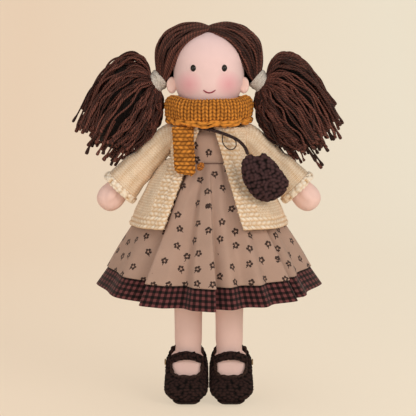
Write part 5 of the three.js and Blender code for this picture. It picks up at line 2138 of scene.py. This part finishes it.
@dataclass(frozen=True)
class Flowers:
    """Strews a print's flowers: each point of a piece learns where it lies from the nearest.

    Attributes:
        seed: which strewing it is.
        apart: least distance between flowers.
        lean: how far a flower may be turned, in radians.
        batch: points that are compared with all flowers at once.
    """

    seed: int
    apart: float = 14.5
    lean: float = 0.9
    batch: int = 4000

    def print_on(self, piece: bpy.types.Object, panel: Panel) -> None:
        """Writes the flowers' places.

        Args:
            piece: the built piece.
            panel: the panel that it was built from.
        """
        rng = np.random.default_rng(self.seed)
        points = panel.points.reshape(-1, 3)
        normals = panel.normals.reshape(-1, 3)
        chosen: list[int] = []
        for k in rng.permutation(len(points)):
            if not chosen or np.linalg.norm(points[chosen] - points[k], axis=1).min() > self.apart:
                chosen.append(int(k))
        count = len(piece.data.vertices)
        place = np.zeros(count * 3, np.float32)
        piece.data.vertices.foreach_get("co", place)
        place = place.reshape(-1, 3) / MM
        nearest = np.zeros(count, int)
        for start in range(0, count, self.batch):
            part = slice(start, start + self.batch)
            away = np.linalg.norm(place[part, None] - points[chosen][None], axis=-1)
            nearest[part] = away.argmin(axis=1)
        middle, out = points[chosen][nearest], normals[chosen][nearest]
        up = unit(np.array([0, 0, 1.0]) - out[:, 2:] * out)
        side = np.cross(up, out)
        turn = rng.uniform(-self.lean, self.lean, len(chosen))[nearest]
        gap = place - middle
        a, b = (gap * side).sum(axis=1), (gap * up).sum(axis=1)
        du, dv = a * np.cos(turn) - b * np.sin(turn), a * np.sin(turn) + b * np.cos(turn)
        motif = np.stack([du, dv, np.linalg.norm(gap, axis=1)], axis=1).astype(np.float32)
        carried = piece.data.attributes.new("motif", "FLOAT_VECTOR", "POINT")
        carried.data.foreach_set("vector", motif.ravel())


@dataclass
class Cardigan(Dresser):
    """The open hand-knitted cardigan.

    Attributes:
        rows: half width and half depth at shares of the height.
        hem: the hem's height.
        height: from the hem to the neck.
        wide: half width at the hem.
        deep: half depth at the hem.
        front_top: share of the height at which the fronts end.
        EDGES: how far the front edges lie from the middle, at the hem and at the neck.
        FRONT_START: how far under its band a front starts.
        BAND_WIDTH: the bands' width.
        BODY_STITCH: one stitch's width and height.
    """

    rows: tuple = (
        (0, 1, 1), (0.21, 0.876, 0.83), (0.32, 0.802, 0.735), (0.42, 0.742, 0.635),
        (0.57, 0.625, 0.47), (0.645, 0.55, 0.4), (0.75, 0.505, 0.38), (0.85, 0.505, 0.37),
        (0.965, 0.49, 0.36), (0.99, 0.44, 0.35), (1, 0.36, 0.34),
    )
    hem: float = 188.0
    height: float = 105.4
    wide: float = 84.5
    deep: float = 71.5
    front_top: float = 0.965
    EDGES: ClassVar[dict[str, tuple[float, float]]] = {"left": (35.0, 3.5), "right": (46.0, 7.0)}
    FRONT_START: ClassVar[float] = 8.2
    BAND_WIDTH: ClassVar[float] = 9.4
    BODY_STITCH: ClassVar[tuple[float, float]] = (3.4, 2.9)

    def _section(self, share: Array, grow: float = 0.0) -> Array:
        """Half width and half depth at a share of the height."""
        row = through_rows(self.rows, share)
        return stack(row[..., 0] * self.wide + grow, row[..., 1] * self.deep + grow)

    def _edge(self, side: str, share: Array) -> Array:
        """How far a front edge lies from the middle."""
        low, high = self.EDGES[side]
        return low + (high - low) * share

    def _at(self, angle: Array, share: Array, grow: float = 0.0) -> Array:
        """A point of the body, with the soft waves of the knitting.

        Args:
            angle: turn from the front, in radians.
            share: share of the height.
            grow: how far the point stands out.

        Returns:
            The points.
        """
        size = self._section(share, grow)
        wave = 1.6 * (1 - share) * np.cos(angle * 7 + 0.6)
        x, y = round_section(angle / FULL_TURN, size[..., 0] + wave, size[..., 1] + wave, 2.4)
        # Above the underarm the body ends where the sleeves begin.
        side = 40.0 + 44.5 * ease(0.66 - share, 0, 0.1)
        return stack(np.clip(x, -side, side), y, self.hem + share * self.height)

    def _edge_angle(self, side: str, share: Array, offset: float) -> Array:
        """The turn at which a front edge lies, set off from it by a width."""
        wide = self._section(share)[..., 0]
        inside = np.clip((self._edge(side, share) + offset) / wide, 0, 0.98)
        return np.arcsin(inside ** 1.2)

    def build(self) -> None:
        """Makes the back, the fronts, the bands, the sleeves and the cuffs."""
        self._back()
        for side, sign in SIDES:
            self._front(side, sign)
            self._band(side, sign)
            self._sleeve(side, sign)
            self._cuff(side, sign)

    def _back(self) -> None:
        """The back, from side seam to side seam."""

        def place(u: Array, v: Array) -> Array:
            return self._at(math.pi / 2 + u * math.pi, v)

        panel = Panel("cardigan_back_knit", place, 320, 150, Stitch.STOCKINETTE,
                      self.BODY_STITCH, 0.8, centred=True, border=14.4, wall=2.4)
        piece = self.wear(panel.build(), self.finishes.cream, "torso", ["cardigan_back"])
        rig.sheet(piece, held="draped", rests_on=["bodice_cloth"], **panel.flat())

    def _front(self, side: str, sign: float) -> None:
        """One front, from its band to the side seam."""

        def place(u: Array, v: Array) -> Array:
            share = v * self.front_top
            first = self._edge_angle(side, share, self.FRONT_START)
            points = self._at(first + u * (math.pi / 2 - first), share)
            return points * np.array([sign, 1, 1])

        panel = Panel("cardigan_front_knit_" + side, place, 110, 150, Stitch.STOCKINETTE,
                      self.BODY_STITCH, 0.8, border=14.4, margin=13.0, wall=2.4, flip=sign < 0)
        piece = self.wear(panel.build(), self.finishes.cream, "torso", ["cardigan_front_" + side])
        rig.sheet(piece, held="draped", rests_on=["bodice_cloth"], **panel.flat())

    def _band(self, side: str, sign: float) -> None:
        """The thick band along a front edge."""

        def place(u: Array, v: Array) -> Array:
            share = v * self.front_top
            first = self._edge_angle(side, share, 0.0)
            last = self._edge_angle(side, share, self.BAND_WIDTH)
            points = self._at(first + u * (last - first), share, 1.3)
            points[..., 1] -= 0.9 * np.sin(u * math.pi)
            return points * np.array([sign, 1, 1])

        panel = Panel("front_band_knit_" + side, place, 20, 190, Stitch.GARTER, (5.8, 4.8), 2.2,
                      wall=4.0, flip=sign < 0)
        self.wear(panel.build(), self.finishes.cream, "torso", ["front_band_" + side])

    def _sleeve_ring(self, at: Array) -> tuple[Array, ...]:
        """A sleeve's middle, lean, half width and half depth at shares of its length.

        Args:
            at: share of the way from shoulder to wrist.

        Returns:
            Middle across and up, lean, half width and half depth.
        """
        rows = [
            (-0.13, 0.01, -0.1, 0.74, 0.7), (0, 0, 0, 0.795, 0.86),
            (0.111, 0.073, 0.5, 0.76, 0.835), (0.211, 0.169, 1, 0.735, 0.82),
            (0.466, 0.433, 1, 0.795, 0.86), (0.749, 0.721, 1, 0.913, 0.944), (0.955, 0.96, 1, 1, 1),
        ]
        found = along_line(np.array(rows) * [53, 52, ARM_LEAN, 19.5, 18], at)
        out, down, lean, wide, deep = np.moveaxis(found, -1, 0)
        return 40.3 + out, SHOULDER_HEIGHT - down, lean, wide, deep

    def _sleeve(self, side: str, sign: float) -> None:
        """One sleeve, which stays sewn to the body as the arm swings."""

        def place(u: Array, v: Array) -> Array:
            x, z, lean, wide, deep = self._sleeve_ring(v)
            turn = u * FULL_TURN
            ripple = 0.9 * np.sin(v * 23 + np.cos(turn) * 1.5)
            crease = ripple * np.sin(v * math.pi) * np.cos(turn - 2.6)
            up = np.cos(turn) * (wide + crease)
            across = np.sin(turn) * (deep + crease)
            return stack(sign * (x + np.sin(lean) * up), across, z + np.cos(lean) * up)

        panel = Panel("sleeve_knit_" + side, place, 150, 120, Stitch.STOCKINETTE, (2.9, 2.6), 0.7,
                      tube=True, wall=2.0)
        piece = self.wear(panel.build(), self.finishes.cream, "", ["sleeve_" + side])
        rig.blend(piece, "torso", "arm_" + side, start=(sign * 0.0395, 0, 0.278),
                 end=(sign * 0.062, 0, 0.262))
        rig.sheet(piece, held="stretched", rests_on=["arm_cloth_" + side], **panel.flat())

    def _cuff(self, side: str, sign: float) -> None:
        """One turned cuff."""
        ring = [(0, -2.4), (-0.1, 0.8), (1.0, 2.0), (4, 2.5), (6.9, 1.9), (8.2, 0.3), (8, -2.2),
                (4, -2.6)]

        def place(u: Array, v: Array) -> Array:
            x, z, _, wide, deep = self._sleeve_ring(np.ones_like(u))
            row = along_line(ring, v, True)
            turn = u * FULL_TURN
            up = np.cos(turn) * (wide + row[..., 1])
            across = np.sin(turn) * (deep + row[..., 1])
            run = row[..., 0] - 0.6
            return stack(sign * (x + math.cos(ARM_LEAN) * run + math.sin(ARM_LEAN) * up), across,
                         z - math.sin(ARM_LEAN) * run + math.cos(ARM_LEAN) * up)

        panel = Panel("cuff_knit_" + side, place, 160, 42, Stitch.CROCHET, (4.4, 4.4), 2.4,
                      tube=True, ring=True)
        self.wear(panel.build(), self.finishes.cream, "arm_" + side, ["cuff_" + side])


@dataclass
class Scarf(Dresser):
    """The thick knitted scarf with its hanging tail.

    Attributes:
        base: the height of the wrap's lower edge.
        tail: the tail's length, half width and half thickness.
    """

    base: float = 294.2
    tail: tuple[float, float, float] = (48.6, 11.8, 3.2)

    def build(self) -> None:
        """Makes the wrap, its rolled edge, the tail and the curl of yarn."""
        self._wrap()
        self._roll()
        self._tail()
        self._curl()

    @staticmethod
    def _sink(angle: Array) -> Array:
        """How far the wrap sinks at a turn from the front: most in front, a little behind."""
        out = -np.cos(angle)
        return np.where(out < 0, 4.2, 1.0) * out ** 2

    def _wrap(self) -> None:
        """The wrap round the neck."""
        outline = [
            (46.2, 7, 41.5), (46.9, 12, 42.2), (47, 17, 42.2), (46, 22.5, 41.4), (43, 27, 38.6),
            (39, 28.8, 36.5), (35.2, 27.8, 35.2), (31.5, 22, 31.5), (27, 15.5, 27), (21, 8, 21),
            (20.5, 2.5, 20.5), (26, 0.6, 26), (36, 0.9, 33), (42, 3, 38),
        ]

        def place(u: Array, v: Array) -> Array:
            row = along_line(outline, 1 - v, True)
            angle = (u - 0.5) * FULL_TURN
            x, y = np.sin(angle) * row[..., 0], -np.cos(angle) * row[..., 2]
            sag = 0.7 * np.sin(angle * 5 + 1) * (row[..., 1] > 3)
            lump = 1 + 0.012 * np.sin(angle * 11 + row[..., 1] * 0.2)
            lump = lump + 0.008 * np.sin(angle * 17 + 2)
            return stack(x * lump, y * lump, self.base - self._sink(angle) + row[..., 1] + sag)

        panel = Panel("scarf_knit", place, 400, 90, Stitch.STOCKINETTE, (6.0, 4.1), 1.9, tube=True,
                      ring=True)
        piece = self.wear(panel.build(), self.finishes.mustard, "torso", ["scarf_wrap"])
        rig.sheet(piece, flat=(0.25, 0.095), held="folded", rests_on=["bodice_cloth"])

    def _roll(self) -> None:
        """The rolled lower edge."""

        def place(u: Array, v: Array) -> Array:
            angle, turn = (u - 0.5) * FULL_TURN, v * FULL_TURN
            reach = (3.9 + 0.4 * np.sin(angle * 13)) * np.cos(turn)
            x = np.sin(angle) * (42.6 + reach)
            y = -np.cos(angle) * (38.2 + reach)
            z = self.base - self._sink(angle) + 2.9 + 3.8 * np.sin(turn)
            return stack(x, y, z + 0.6 * np.sin(angle * 9) + 0.5 * np.sin(angle * 16))

        panel = Panel("scarf_edge_knit", place, 320, 26, Stitch.CROCHET, (6.2, 5.2), 1.7, tube=True,
                      ring=True)
        self.wear(panel.build(), self.finishes.mustard, "torso")

    def _tail(self) -> None:
        """The tail down the front, in garter ridges."""
        rows = [
            (0, 0, 0), (0.0, 0.9, 0.5), (0.05, 1, 0.95), (0.35, 0.98, 0.97), (0.65, 0.97, 1),
            (0.86, 0.98, 1), (0.95, 0.9, 0.95), (1, 0.72, 0.7), (1.01, 0, 0),
        ]

        def place(u: Array, v: Array) -> Array:
            row = along_line(np.array(rows) * self.tail, 1 - v)
            down = row[..., 0] / self.tail[0]
            x, y = round_section(u, row[..., 1], row[..., 2], 3.2)
            seam = 0.9 * hump(x, 9.6, 1.6) * np.sign(y) - 0.9 * hump(x, 6.6, 1.0) * np.sign(y)
            drop = row[..., 0] + 1.6 * ease(down, 0.8, 1) * x / self.tail[1]
            return stack(-27 + 2.8 * down + x, -28.5 - 11.3 * down + y + seam, 290.7 - drop)

        panel = Panel("scarf_tail_knit", place, 100, 100, Stitch.GARTER, (4.6, 4.2), 1.3, tube=True)
        piece = self.wear(panel.build(), self.finishes.mustard, "scarf_tail", ["scarf_tail"])
        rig.sheet(piece, flat=(0.0472, 0.0486), held="folded", rests_on=["scarf_knit"])

    def _curl(self) -> None:
        """The loose end of the yarn at the tail's corner."""
        steps = 80
        t = np.linspace(0, 1, steps)
        turn = t * FULL_TURN * 3.1
        radius = 2.6 * np.sin(t * math.pi * 0.9 + 0.25)
        path = stack(-9.9 + 3.2 * t + radius * np.cos(turn), -38 - 1.4 * np.sin(turn * 0.9),
                     247.4 + 5.4 * t + radius * np.sin(turn))
        piece = Strands("scarf_curl", 9).build(path[None], np.full((1, steps), 1.15))
        self.wear(piece, self.finishes.curl, "scarf_tail", ["scarf_yarn_end"])


def main() -> None:
    """Dresses the doll."""
    logging.basicConfig(level=logging.INFO, format="%(message)s")
    Studio().build()
    finishes = Finishes()
    Purse(finishes).build()
    Body(finishes).build()
    Head(finishes).build()
    Dress(finishes).build()
    Cardigan(finishes).build()
    Scarf(finishes).build()
    for side, sign in SIDES:
        Shoe(finishes, side, sign).build()
    boxes = {"cad": [list(c) for c in CAD_BOX], "visual": [list(c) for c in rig.bounds()]}
    with open("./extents.json", "w") as out:
        json.dump(boxes, out)


if __name__ == "__main__":
    main()
